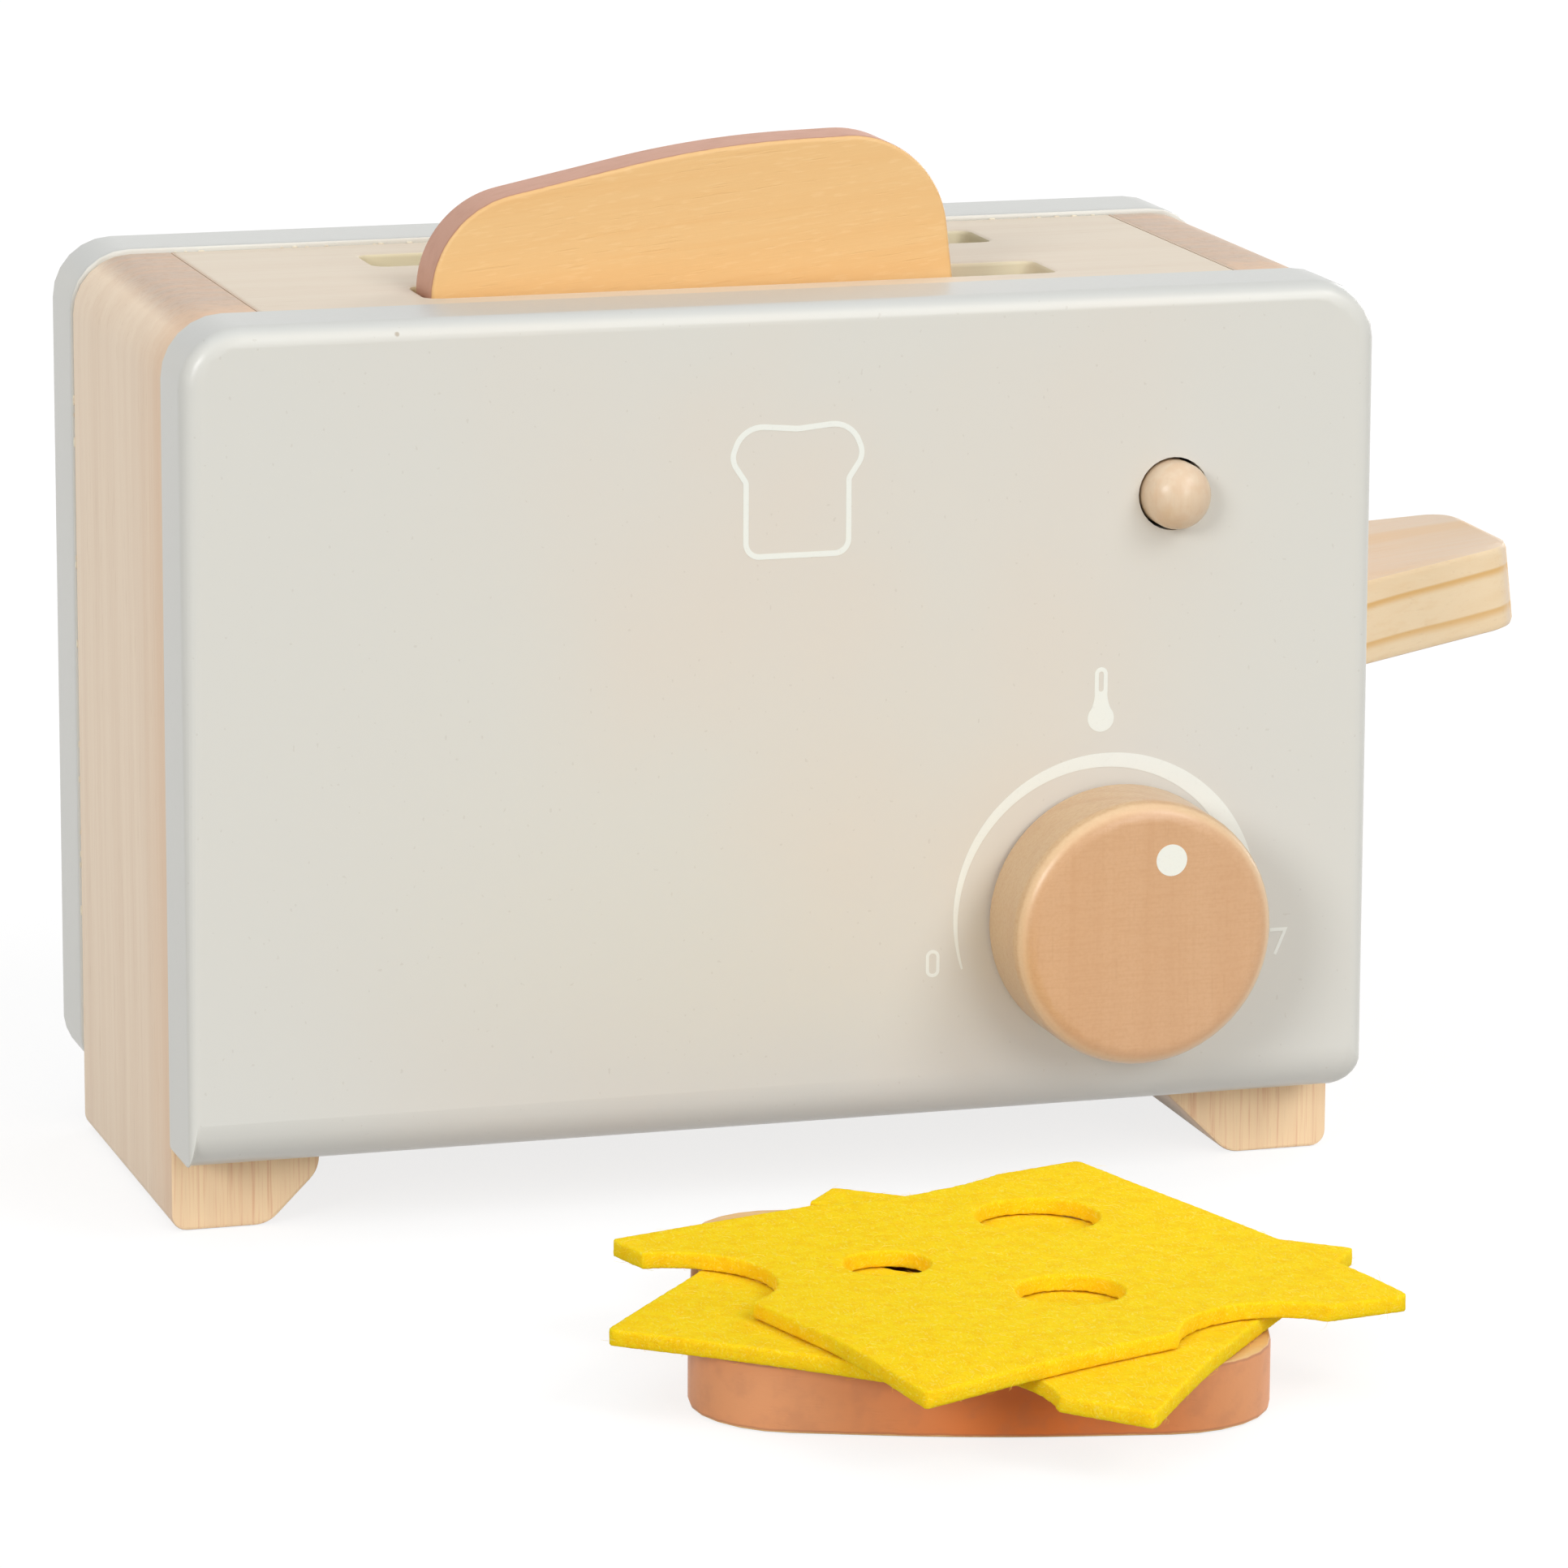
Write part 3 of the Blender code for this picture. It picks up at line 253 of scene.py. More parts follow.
class Graph:
    """The nodes of one material, world or modifier."""

    def __init__(self, tree):
        self.tree = tree

    def node(self, kind, settings=None, inputs=None, output=0):
        """A new node with its settings and then its sockets set, as the signal of one output."""
        item = self.tree.nodes.new(kind)
        for name, value in (settings or {}).items():
            setattr(item, name, value)
        for name, value in (inputs or {}).items():
            self.feed(item.inputs[name], value)
        return Signal(self, item.outputs[output])

    def feed(self, socket, value):
        """Link a signal to a socket, or set the socket's value. A colour of three numbers is made linear."""
        if isinstance(value, Signal):
            self.tree.links.new(value.socket, socket)
        elif socket.type == "RGBA" and len(value) == 3:
            socket.default_value = linear(value)
        else:
            socket.default_value = value

    def points(self):
        """Points of the surface in the row frame, which stay with the piece as it moves."""
        return self.node("ShaderNodeTexCoord", output="Object")

    def normals(self):
        """Surface directions that stay with the piece as it moves."""
        return self.node("ShaderNodeTexCoord", output="Normal")

    def seen(self):
        """1 to the camera and in reflections, 0 to the light that falls on other surfaces."""
        camera = self.node("ShaderNodeLightPath", output="Is Camera Ray")
        glossy = self.node("ShaderNodeLightPath", output="Is Glossy Ray")
        return camera.maths("MAXIMUM", camera, glossy)

    def vector(self, operation, first, second):
        """One Vector Math node on two vectors."""
        return self.node("ShaderNodeVectorMath", {"operation": operation}, {0: first, 1: second})

    def length(self, vector):
        """Length of a vector."""
        return self.node("ShaderNodeVectorMath", {"operation": "LENGTH"}, {0: vector}, "Value")

    def part(self, vector, axis):
        """One coordinate of a vector."""
        return self.node("ShaderNodeSeparateXYZ", inputs={"Vector": vector}, output=axis)

    def turned(self, vector, turn):
        """A vector turned about the axes X, Y and Z."""
        settings = {"rotation_type": "EULER_XYZ"}
        return self.node("ShaderNodeVectorRotate", settings, {"Vector": vector, "Rotation": turn})

    def squeezed(self, points, across, along, axis):
        """Points scaled finely across the grain and coarsely along it."""
        scale = [across, across, across]
        scale[axis] = along
        return self.vector("MULTIPLY", points, tuple(scale))

    def swayed(self, points, colour, reach):
        """Points moved off their places by a colour noise."""
        shift = self.vector("SUBTRACT", colour, (0.5, 0.5, 0.5))
        return self.vector("ADD", points, self.vector("MULTIPLY", shift, (reach, reach, reach)))

    def noise(self, points, scale, detail=2.0, roughness=0.5, output="Fac"):
        """Fractal noise."""
        inputs = {"Vector": points, "Scale": scale, "Detail": detail, "Roughness": roughness}
        return self.node("ShaderNodeTexNoise", inputs=inputs, output=output)

    def grain(self, points, across, along, axis, detail=2.0, roughness=0.5):
        """Fractal noise drawn out along one axis."""
        return self.noise(self.squeezed(points, across, along, axis), 1.0, detail, roughness)

    def blend(self, share, first, second):
        """Colour between two colours."""
        return self.node("ShaderNodeMix", {"data_type": "RGBA"}, {0: share, 6: first, 7: second}, 2)

    def between(self, value, low, high):
        """Smooth step of a value from 0 at low to 1 at high."""
        settings = {"interpolation_type": "SMOOTHSTEP"}
        inputs = {"Value": value, "From Min": low, "From Max": high, "To Min": 0.0, "To Max": 1.0}
        return self.node("ShaderNodeMapRange", settings, inputs)


class Surface(Graph):
    """The nodes of a new material, with its constants set on the shader."""

    def __init__(self, name, colour, roughness=0.5, specular=0.5, metallic=0.0):
        self.material = bpy.data.materials.new(name)
        self.material.use_nodes = True
        super().__init__(self.material.node_tree)
        self.sockets = self.tree.nodes["Principled BSDF"].inputs
        self.colour = colour
        self.put("Roughness", roughness)
        self.put("Specular IOR Level", specular)
        self.put("Coat Roughness", 0.25)
        self.put("Metallic", metallic)

    def put(self, socket, value):
        """Feed one of the shader's sockets."""
        self.feed(self.sockets[socket], value)

    def layer(self, share, colour):
        """Lay a further colour over the surface's colour."""
        self.colour = self.blend(share, self.colour, colour)
        self.put("Base Color", self.colour)

    def bump(self, height, distance, strength):
        """Give the surface the relief of a height signal."""
        inputs = {"Height": height, "Distance": distance, "Strength": strength}
        self.put("Normal", self.node("ShaderNodeBump", inputs=inputs))


def painted_finish(paint):
    """Satin paint: a slow drift of tone, fine stipple, a lighter band along the edges that is partly thin
    paint and partly a painted highlight, painted shade on the faces that look up, a few specks and a nick.
    """
    graph = Surface("satin_panel_paint", paint.body, roughness=0.42)
    points = graph.points()
    x = abs(graph.part(points, "X") - CENTRE_X)
    drift = graph.between(graph.noise(points, 9.0, 3.0), 0.36, 0.64) * (1.0 - graph.between(x, 0.030, 0.085))
    graph.layer(drift * 0.7, paint.warm)
    z = graph.part(points, "Z") - (PANEL_LOW.z + PANEL_HIGH.z) / 2
    half_x = (PANEL_HIGH.x - PANEL_LOW.x) / 2
    half_z = (PANEL_HIGH.z - PANEL_LOW.z) / 2
    wobble = graph.noise(points, 420.0, 3.0) * 0.0009
    # Painted highlight, with thin paint: a lighter band within about 2 mm of the panel's outline
    edge_highlight_x = graph.between(x + wobble, half_x - 0.0022, half_x - 0.0002)
    edge_highlight_z = graph.between(z + wobble, half_z - 0.0020, half_z - 0.0002)
    edge = edge_highlight_x.maths("MAXIMUM", edge_highlight_x, edge_highlight_z)
    graph.layer(edge * 0.12, paint.edge)
    # Painted shade: a greyer tone on the faces that look up
    graph.layer(graph.between(graph.part(graph.normals(), "Z"), 0.35, 0.85), paint.upper)
    graph.layer(graph.between(graph.noise(points, 1400.0, 0.0), 0.82, 0.86) * 0.14, (0.62, 0.57, 0.50))
    stipple = graph.noise(points, 1100.0, 3.0, 0.55)
    roller = graph.noise(points, 260.0, 2.0)
    nick_place = (CENTRE_X - 0.0618, FRONT_Y + 0.0002, PANEL_HIGH.z - 0.00195)
    nick = graph.length(graph.vector("SUBTRACT", points, nick_place)) + stipple * 0.0004
    graph.layer((1.0 - graph.between(nick, 0.0004, 0.0007)) * 0.6, paint.bare)
    graph.put("Roughness", 0.27 + stipple * 0.08 + edge * 0.03)
    graph.bump(stipple * 0.4 + roller, 0.00005, 0.12)
    return graph.material


def wood_finish(
    name, axis, pith, gap, tones, shares, turn=(0.0, 0.0, 0.0), roughness=0.5, early=0.35, wobble=1.2
):
    """Bare wood: uneven year rings round a pith line, soft streaks, fine fibres and pores along one axis.

    tones are the pale, dark, end-grain and narrow-face colours. shares say how strongly the rings, the
    streaks and the pores show. turn squares the points up to a tilted piece. early is the plain share of
    each ring, wobble how uneven the rings are.
    """
    pale, dark, end, narrow = tones
    red, green, blue, alpha = linear(dark)
    ring_share, streak_share, pore_share = shares
    graph = Surface(name, pale, roughness=roughness, specular=0.35)
    points = graph.points()
    normals = graph.normals()
    if any(turn):
        points = graph.turned(points, turn)
        normals = graph.turned(normals, turn)
    sway = graph.noise(graph.squeezed(points, 1.0, 0.3, axis), 26.0, 2.0, output="Color")
    bent = graph.swayed(points, sway, 0.007)
    radius = graph.length(graph.squeezed(graph.vector("SUBTRACT", bent, pith), 1.0, 0.0, axis)) / gap
    uneven = graph.node("ShaderNodeTexNoise", {"noise_dimensions": "1D"}, {"W": radius * 0.55, "Scale": 1.0})
    ring = (radius + uneven * wobble) % 1.0
    late = graph.between(ring, early, 0.92) * (1.0 - graph.between(ring, 0.93, 1.0)) * (0.3 + uneven * 1.3)
    broad = graph.between(graph.grain(bent, 170.0, 5.0, axis), 0.42, 0.64)
    streak = graph.between(graph.grain(bent, 760.0, 15.0, axis, 3.0, 0.6), 0.50, 0.74)
    fibre = graph.grain(points, 3200.0, 90.0, axis, 3.0, 0.6)
    pores = graph.between(graph.grain(points, 2100.0, 130.0, axis, 1.0), 0.66, 0.76)
    end_on = graph.between(abs(graph.part(normals, "XYZ"[axis])), 0.72, 0.99)
    narrow_on = graph.between(abs(graph.part(normals, "Y" if axis != 1 else "X")), 0.55, 0.9)
    graph.layer(narrow_on, narrow)
    graph.layer(end_on, end)
    graph.layer(late * (0.4 + narrow_on * 0.6 + end_on * 1.6) * ring_share, dark)
    fleck = graph.between(graph.grain(points, 1500.0, 700.0, 0, 3.0, 0.6), 0.46, 0.66)
    graph.layer(end_on * fleck * (pore_share * 4.0), (red * 0.70, green * 0.70, blue * 0.70, alpha))
    graph.layer(broad * streak_share, dark)
    graph.layer(streak * (0.9 * streak_share), dark)
    graph.layer((fibre - 0.42) * (1.2 * streak_share), dark)
    graph.layer(pores * pore_share, (red * 0.5, green * 0.42, blue * 0.36, alpha))
    graph.put("Roughness", roughness + (fibre - 0.5) * 0.16 + pores * 0.1)
    graph.bump(fibre * 0.7 - pores * 0.6 - late * 0.25, 0.00007, 0.4)
    return graph


def felt_finish(food):
    """Wool felt: fine matted fibres in deep, middle and light yellow."""
    graph = Surface("yellow_wool_felt", food.felt, roughness=1.0, specular=0.04)
    graph.put("Subsurface Weight", 0.5)
    graph.put("Subsurface Scale", 0.0018)
    graph.put("Subsurface Radius", (1.0, 0.6, 0.15))
    points = graph.points()
    curled = graph.swayed(points, graph.noise(points, 240.0, 2.0, output="Color"), 0.003)
    first = graph.grain(curled, 3400.0, 620.0, 0, 2.0, 0.6)
    second = graph.grain(curled, 3200.0, 760.0, 1, 2.0, 0.6)
    cloud = graph.noise(points, 330.0, 3.0)
    dark = graph.between(first, 0.55, 0.70) * 0.6 + graph.between(second, 0.57, 0.72) * 0.6
    graph.layer(graph.between(cloud, 0.42, 0.66) * 0.22, food.felt_deep)
    graph.layer((1.0 - graph.between(second, 0.32, 0.45)) * 0.4, food.felt_light)
    graph.layer(dark * 0.55, food.felt_deep)
    graph.bump(first + second + cloud * 0.4, 0.00016, 0.5)
    return graph.material


def fibre_finish(food):
    """Loose fibres of the felt."""
    graph = Surface("yellow_wool_fibres", food.felt, roughness=0.9, specular=0.05)
    graph.layer(graph.between(graph.noise(graph.points(), 300.0, 1.0), 0.4, 0.6), food.felt_light)
    return graph.material


def bread_finish(name, food, crust_tones, axis, box, grain_turn):
    """Bread slice: pale flecks on its bare faces, and crust paint that drifts from one tone to another; on
    the loose slice that drift is painted shade and orange bounce light.
    """
    tones = (food.crumb, food.crumb_dark, food.crumb, food.crumb)
    graph = wood_finish(name, 0, (0.0, 0.35, 0.35), 0.021, tones, (0.08, 0.22, 0.05), grain_turn, 0.46)
    points = graph.points()
    dash = graph.between(graph.grain(graph.turned(points, grain_turn), 2400.0, 300.0, 0, 1.0), 0.58, 0.72)
    graph.layer(dash * 0.24, food.crumb_light)
    low, high = (corner["XYZ".index(axis)] for corner in box)
    half = (high - low) / 2
    wobble = (graph.noise(points, 500.0, 2.0) - 0.5) * 0.0003
    reach = abs(graph.part(points, axis) - (low + high) / 2) + wobble
    crust = 1.0 - graph.between(reach, half - 0.00045, half - 0.00030)
    line = graph.between(reach, half - 0.00085, half - 0.00050) * crust
    # Crust tone by distance from the middle; on the loose slice this is painted shade and bounce light
    away = abs(graph.part(points, "X") - CENTRE_X) + graph.noise(points, 40.0, 1.0) * 0.01
    paint = graph.blend(graph.between(away, 0.006, 0.038), *crust_tones)
    paint = graph.blend(line * 0.5, paint, food.crust_line)
    brushed = graph.between(graph.noise(points, 260.0, 3.0), 0.42, 0.70)
    graph.layer(crust, graph.blend(brushed * 0.2, paint, food.crust_line))
    return graph.material


def print_finish(paint):
    """Opaque screen-printing ink."""
    graph = Surface("white_print_ink", paint.print_white)
    points = graph.points()
    thin = graph.between(graph.noise(points, 1500.0, 3.0), 0.55, 0.75)
    graph.layer(thin * 0.18, paint.body)
    graph.put("Roughness", 0.46 + thin * 0.1)
    graph.bump(graph.noise(points, 1800.0, 2.0), 0.00002, 0.4)
    return graph.material


def steel_finish():
    """Zinc-plated steel of the screws and the spring."""
    graph = Surface("zinc_plated_steel", (0.80, 0.80, 0.82), roughness=0.3, metallic=1.0)
    points = graph.points()
    cloud = graph.noise(points, 700.0, 3.0)
    graph.layer(cloud, (0.66, 0.67, 0.70))
    graph.put("Roughness", 0.22 + cloud * 0.22)
    graph.bump(graph.grain(points, 4000.0, 300.0, 1), 0.00002, 0.3)
    return graph.material


# Making pieces and dressing the frame's solids


def smooth_rounds_group():
    """Geometry nodes that join the solid's split corners and shade its rounds smooth."""
    name = "smooth_rounds"
    if name in bpy.data.node_groups:
        return bpy.data.node_groups[name]
    group = bpy.data.node_groups.new(name, "GeometryNodeTree")
    group.interface.new_socket("Geometry", in_out="INPUT", socket_type="NodeSocketGeometry")
    group.interface.new_socket("Geometry", in_out="OUTPUT", socket_type="NodeSocketGeometry")
    graph = Graph(group)
    shade = "GeometryNodeSetShadeSmooth"
    raw = graph.node("NodeGroupInput")
    merged = graph.node("GeometryNodeMergeByDistance", inputs={"Geometry": raw, "Distance": 0.000002})
    settings = {"Mesh": merged, "Remove Custom": True}
    bare = graph.node("GeometryNodeSetMeshNormal", {"mode": "SHARPNESS"}, settings)
    bend = graph.node("GeometryNodeInputMeshEdgeAngle")
    sharp = graph.node("FunctionNodeCompare", {"operation": "GREATER_THAN"}, {0: bend, 1: SHARP_ANGLE})
    rounds = graph.node(shade, {"domain": "FACE"}, {"Geometry": bare, "Shade Smooth": True})
    settings = {"Geometry": rounds, "Selection": sharp, "Shade Smooth": False}
    edges = graph.node(shade, {"domain": "EDGE"}, settings)
    end = group.nodes.new("NodeGroupOutput")
    graph.feed(end.inputs[0], edges)
    return group


def keep_flat(item):
    """Shade a piece's flat faces flat, next to its smooth rounds."""
    weights = item.modifiers.new("flat faces", "WEIGHTED_NORMAL")
    weights.keep_sharp = True


def smooth_rounds(item):
    """Shade a solid's rounds smooth and keep its flat faces flat."""
    rounds = item.modifiers.new("smooth rounds", "NODES")
    rounds.node_group = smooth_rounds_group()
    keep_flat(item)


def dress(node, material):
    """Give one solid of the frame its finish, with smooth rounds and flat faces that stay flat."""
    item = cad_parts[node]
    item.material_slots[0].material = material
    smooth_rounds(item)


def as_mesh(name, data):
    """The mesh of a finished shape."""
    mesh = bpy.data.meshes.new(name)
    data.to_mesh(mesh)
    data.free()
    return mesh


def linked(name, data):
    """A new object in the scene, from its mesh, lamp or camera data."""
    item = bpy.data.objects.new(name, data)
    bpy.context.scene.collection.objects.link(item)
    return item


def piece_of(name, mesh, body):
    """A mesh as a piece that rides on a body."""
    item = linked(name, mesh)
    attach(item, body)
    return item


def new_piece(name, data, material, body):
    """A new piece of one material, with its faces turned outward."""
    bmesh.ops.recalc_face_normals(data, faces=data.faces)
    mesh = as_mesh(name, data)
    mesh.materials.append(material)
    return piece_of(name, mesh, body)


def copied_solid(name, node, material):
    """A copy of one of the housing's solids, which takes its place."""
    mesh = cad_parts[node].data.copy()
    mesh.materials.clear()
    mesh.materials.append(material)
    item = piece_of(name, mesh, "housing")
    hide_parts(node)
    return item


# Printed marks and other thin or stacked shapes

# How far a print starts inside what it lies on, and the width of the bread outline's line
PRINT_ROOT = 0.00004
BREAD_STROKE = 0.00085

# The dial scale's radius, its angles in degrees, its least thickness and how much it swells
DIAL_RADIUS = 0.0250
DIAL_START = 199.0
DIAL_END = -18.0
DIAL_THIN = 0.00030
DIAL_SWELL = 0.0034

# Places in millimetres, right of the front panel's middle and up from the marks' base line
DIAL_CENTRE = (51.5, 31.3)
ZERO_CENTRE = (23.2, 24.4)
SEVEN_LINE = ((78.9, 26.2), (81.45, 26.2), (81.3, 25.8), (79.75, 22.2))
THERMOMETER_ENDS = ((50.3, 61.9), (50.3, 68.9))
BREAD_CENTRE = (0.9, 100.2)

# Corners of the closed marks in millimetres from their centres: x, z and radius
ZERO_CORNERS = ((-0.85, -1.9, 0.82), (0.85, -1.9, 0.82), (0.85, 1.9, 0.82), (-0.85, 1.9, 0.82))
BREAD_CORNERS = (
    (-8.2, -10.0, 2.2),
    (8.2, -10.0, 2.2),
    (8.2, 1.6, 1.2),
    (10.6, 5.2, 3.0),
    (8.6, 10.4, 4.4),
    (0.0, 9.6, 6.0),
    (-8.6, 10.4, 4.4),
    (-10.6, 5.2, 3.0),
    (-8.2, 1.6, 1.2),
)


def arc_points(centre, radius, start, end, steps):
    """Points on an arc in the panel's plane, angles in degrees from +X."""
    points = []
    for step in range(steps + 1):
        angle = math.radians(start + (end - start) * step / steps)
        points.append(Vector((centre[0] + radius * math.cos(angle), centre[1] + radius * math.sin(angle))))
    return points


def row(data, points, y):
    """Vertices at points of the XZ plane, all at one depth."""
    return [data.verts.new((point.x, y, point.y)) for point in points]


def close_stack(data, rings):
    """Faces between a stack's rings, each with the next, and over both of its ends."""
    for first, second in zip(rings, rings[1:]):
        for index in range(len(first)):
            after = (index + 1) % len(first)
            data.faces.new((first[index], first[after], second[after], second[index]))
    data.faces.new(rings[0])
    data.faces.new(rings[-1])


def band(outer, inner, closed, back, front):
    """Thin solid between two rails of like point counts, standing in XZ from one depth to another."""
    data = bmesh.new()
    outer_front, outer_back = row(data, outer, front), row(data, outer, back)
    inner_front, inner_back = row(data, inner, front), row(data, inner, back)
    edges = (outer_front, inner_front, inner_back, outer_back)
    count = len(outer)
    for index in range(count if closed else count - 1):
        after = (index + 1) % count
        for first, second in zip(edges, edges[1:] + edges[:1]):
            data.faces.new((first[index], first[after], second[after], second[index]))
    if not closed:
        for index in (0, count - 1):
            data.faces.new([edge[index] for edge in edges])
    return data


def disc(centre, radius, back, front, steps=48):
    """Thin round solid standing in XZ."""
    data = bmesh.new()
    rim = arc_points(centre, radius, 0, 360 - 360 / steps, steps - 1)
    close_stack(data, [row(data, rim, y) for y in (front, back)])
    return data


def offset(points, distance, closed):
    """Points moved sideways from a line by a distance."""
    moved = []
    count = len(points)
    for index, point in enumerate(points):
        before = points[(index - 1) % count] if closed or index else point
        after = points[(index + 1) % count] if closed or index < count - 1 else point
        incoming = (point - before).normalized() if point != before else (after - point).normalized()
        outgoing = (after - point).normalized() if point != after else incoming
        normal = Vector((-(incoming.y + outgoing.y), incoming.x + outgoing.x)).normalized()
        cosine = normal.dot(Vector((-outgoing.y, outgoing.x)))
        moved.append(point + normal * (distance / max(cosine, 0.3)))
    return moved


def line_mark(points, width, closed, back, front):
    """A drawn line of even width."""
    return band(offset(points, width / 2, closed), offset(points, -width / 2, closed), closed, back, front)


def rounded_loop(corners, steps=8):
    """Closed line through corners (x, z, radius) with rounded turns."""
    points = []
    count = len(corners)
    for index, (x, z, radius) in enumerate(corners):
        corner = Vector((x, z))
        before = (Vector(corners[index - 1][:2]) - corner).normalized()
        after = (Vector(corners[(index + 1) % count][:2]) - corner).normalized()
        half = before.angle(after) / 2
        centre = corner + (before + after).normalized() * (radius / math.sin(half))
        first = corner + before * (radius / math.tan(half)) - centre
        turn = first.angle_signed(corner + after * (radius / math.tan(half)) - centre)
        for step in range(steps + 1):
            arm = first.copy()
            arm.rotate(Matrix.Rotation(-turn * step / steps, 2))
            points.append(centre + arm)
    return points


def plate(loops, back, front):
    """Thin solid that fills the first loop and leaves the others open, standing in XZ."""
    data = bmesh.new()
    for loop in loops:
        ring = row(data, loop, front)
        for first, second in zip(ring, ring[1:] + ring[:1]):
            data.edges.new((first, second))
    bmesh.ops.triangle_fill(data, use_beauty=True, use_dissolve=False, edges=data.edges)
    made = bmesh.ops.extrude_face_region(data, geom=data.faces)["geom"]
    moved = [item for item in made if isinstance(item, bmesh.types.BMVert)]
    bmesh.ops.translate(data, vec=(0.0, back - front, 0.0), verts=moved)
    return data


def thermometer(bulb, top, back, front):
    """A thermometer: a round bulb, a tube that widens into it and the slit of its empty part."""
    bulb_radius, stem_radius, slit_radius = mm(2.15, 1.05, 0.4)
    neck_length, slit_foot = mm(4.2, 4.6)
    neck_start, neck_sweep, steps = 40, 35, 6
    sides = []
    for step in range(steps + 1):
        share = step / steps
        angle = math.radians(neck_start + neck_sweep * share)
        flare = Vector((bulb_radius * math.cos(angle), bulb_radius * math.sin(angle)))
        straight = Vector((stem_radius, neck_length))
        sides.append(flare.lerp(straight, smooth_step(share, 0.0, 1.0)))
    right = [bulb + point for point in sides]
    left = [bulb + Vector((-point.x, point.y)) for point in reversed(sides)]
    lower = arc_points(bulb, bulb_radius, 180 - neck_start, 360 + neck_start, 40)[1:-1]
    outer = right + arc_points(top, stem_radius, 0, 180, 16) + left + lower
    foot = bulb + Vector((0.0, slit_foot))
    slit = arc_points(foot, slit_radius, 180, 360, 8) + arc_points(top, slit_radius, 0, 180, 8)
    return plate([outer, slit], back, front)


def on_panel(place):
    """A place of the printed marks as a point of the panel's plane."""
    x, z = mm(*place)
    return Vector((CENTRE_X + x, MARKS_BASE_Z + z))


def loop_on_panel(place, corners):
    """A closed line round a place of the printed marks, through rounded corners."""
    middle = on_panel(place)
    corners = [mm(*corner) for corner in corners]
    return rounded_loop([(middle.x + x, middle.y + z, radius) for x, z, radius in corners])


class TOASTER_OT_prints(bpy.types.Operator):
    """Print the dial's scale, its digits, the thermometer and the bread outline on the front panel"""

    bl_idname = "toaster.prints"
    bl_label = "Printed marks"

    def execute(self, context):
        paint = context.scene.toaster_paint
        ink = print_finish(paint)
        depths = (FRONT_Y + PRINT_ROOT, FRONT_Y - paint.ink)
        zero = loop_on_panel(ZERO_CENTRE, ZERO_CORNERS)
        seven = [on_panel(place) for place in SEVEN_LINE]
        bread = loop_on_panel(BREAD_CENTRE, BREAD_CORNERS)
        marks = {
            "dial_scale_print": self.dial_scale(depths),
            "dial_zero_print": line_mark(zero, paint.stroke, True, *depths),
            "dial_seven_print": line_mark(seven, paint.stroke, False, *depths),
            "thermometer_print": thermometer(*map(on_panel, THERMOMETER_ENDS), *depths),
            "bread_outline_print": line_mark(bread, BREAD_STROKE, True, *depths),
        }
        for name, data in marks.items():
            new_piece(name, data, ink, "housing")
        return {"FINISHED"}

    def dial_scale(self, depths):
        """The arc round the knob, which swells from its low end to its high end."""
        centre = on_panel(DIAL_CENTRE)
        outer = []
        inner = []
        steps = 96
        for step in range(steps + 1):
            angle = math.radians(DIAL_START - (DIAL_START - DIAL_END) * step / steps)
            thick = DIAL_THIN + DIAL_SWELL * (step / steps) ** 0.85
            arm = Vector((math.cos(angle), math.sin(angle)))
            outer.append(centre + arm * DIAL_RADIUS)
            inner.append(centre + arm * (DIAL_RADIUS - thick))
        return band(outer, inner, False, *depths)


class TOASTER_OT_panels(bpy.types.Operator):
    """Paint the back panel and a copy of the front panel with wider rounds"""

    bl_idname = "toaster.panels"
    bl_label = "Painted panels"

    def execute(self, context):
        material = painted_finish(context.scene.toaster_paint)
        dress("back_panel", material)
        item = copied_solid("front_panel_board", "front_panel", material)
        for vertex in item.data.vertices:
            self.widen_round(vertex.co)
        smooth_rounds(item)
        return {"FINISHED"}

    def widen_round(self, place):
        """Move one point of the front's top and side rounds so that they are as wide as in the photo."""
        if place.z < (PANEL_LOW.z + PANEL_HIGH.z) / 2:
            return
        behind = place.y - FRONT_Y
        left = PANEL_LOW.x + PANEL_CORNER - place.x
        right = place.x - (PANEL_HIGH.x - PANEL_CORNER)
        reach = Vector((max(left, right, 0.0), max(place.z - (PANEL_HIGH.z - PANEL_CORNER), 0.0)))
        depth = PANEL_CORNER - reach.length
        if max(behind, depth) > WIDEST_ROUND or reach.length == 0.0:
            return
        outward = reach.normalized()
        wider = TOP_ROUND_GROWTH
        if right > 0.0:
            wider += (RIGHT_ROUND_GROWTH - TOP_ROUND_GROWTH) * outward.x ** 2
        place.x += math.copysign(outward.x, left - right) * depth * (wider - 1.0)
        place.z -= outward.y * depth * (wider - 1.0)
        place.y = FRONT_Y + behind * wider


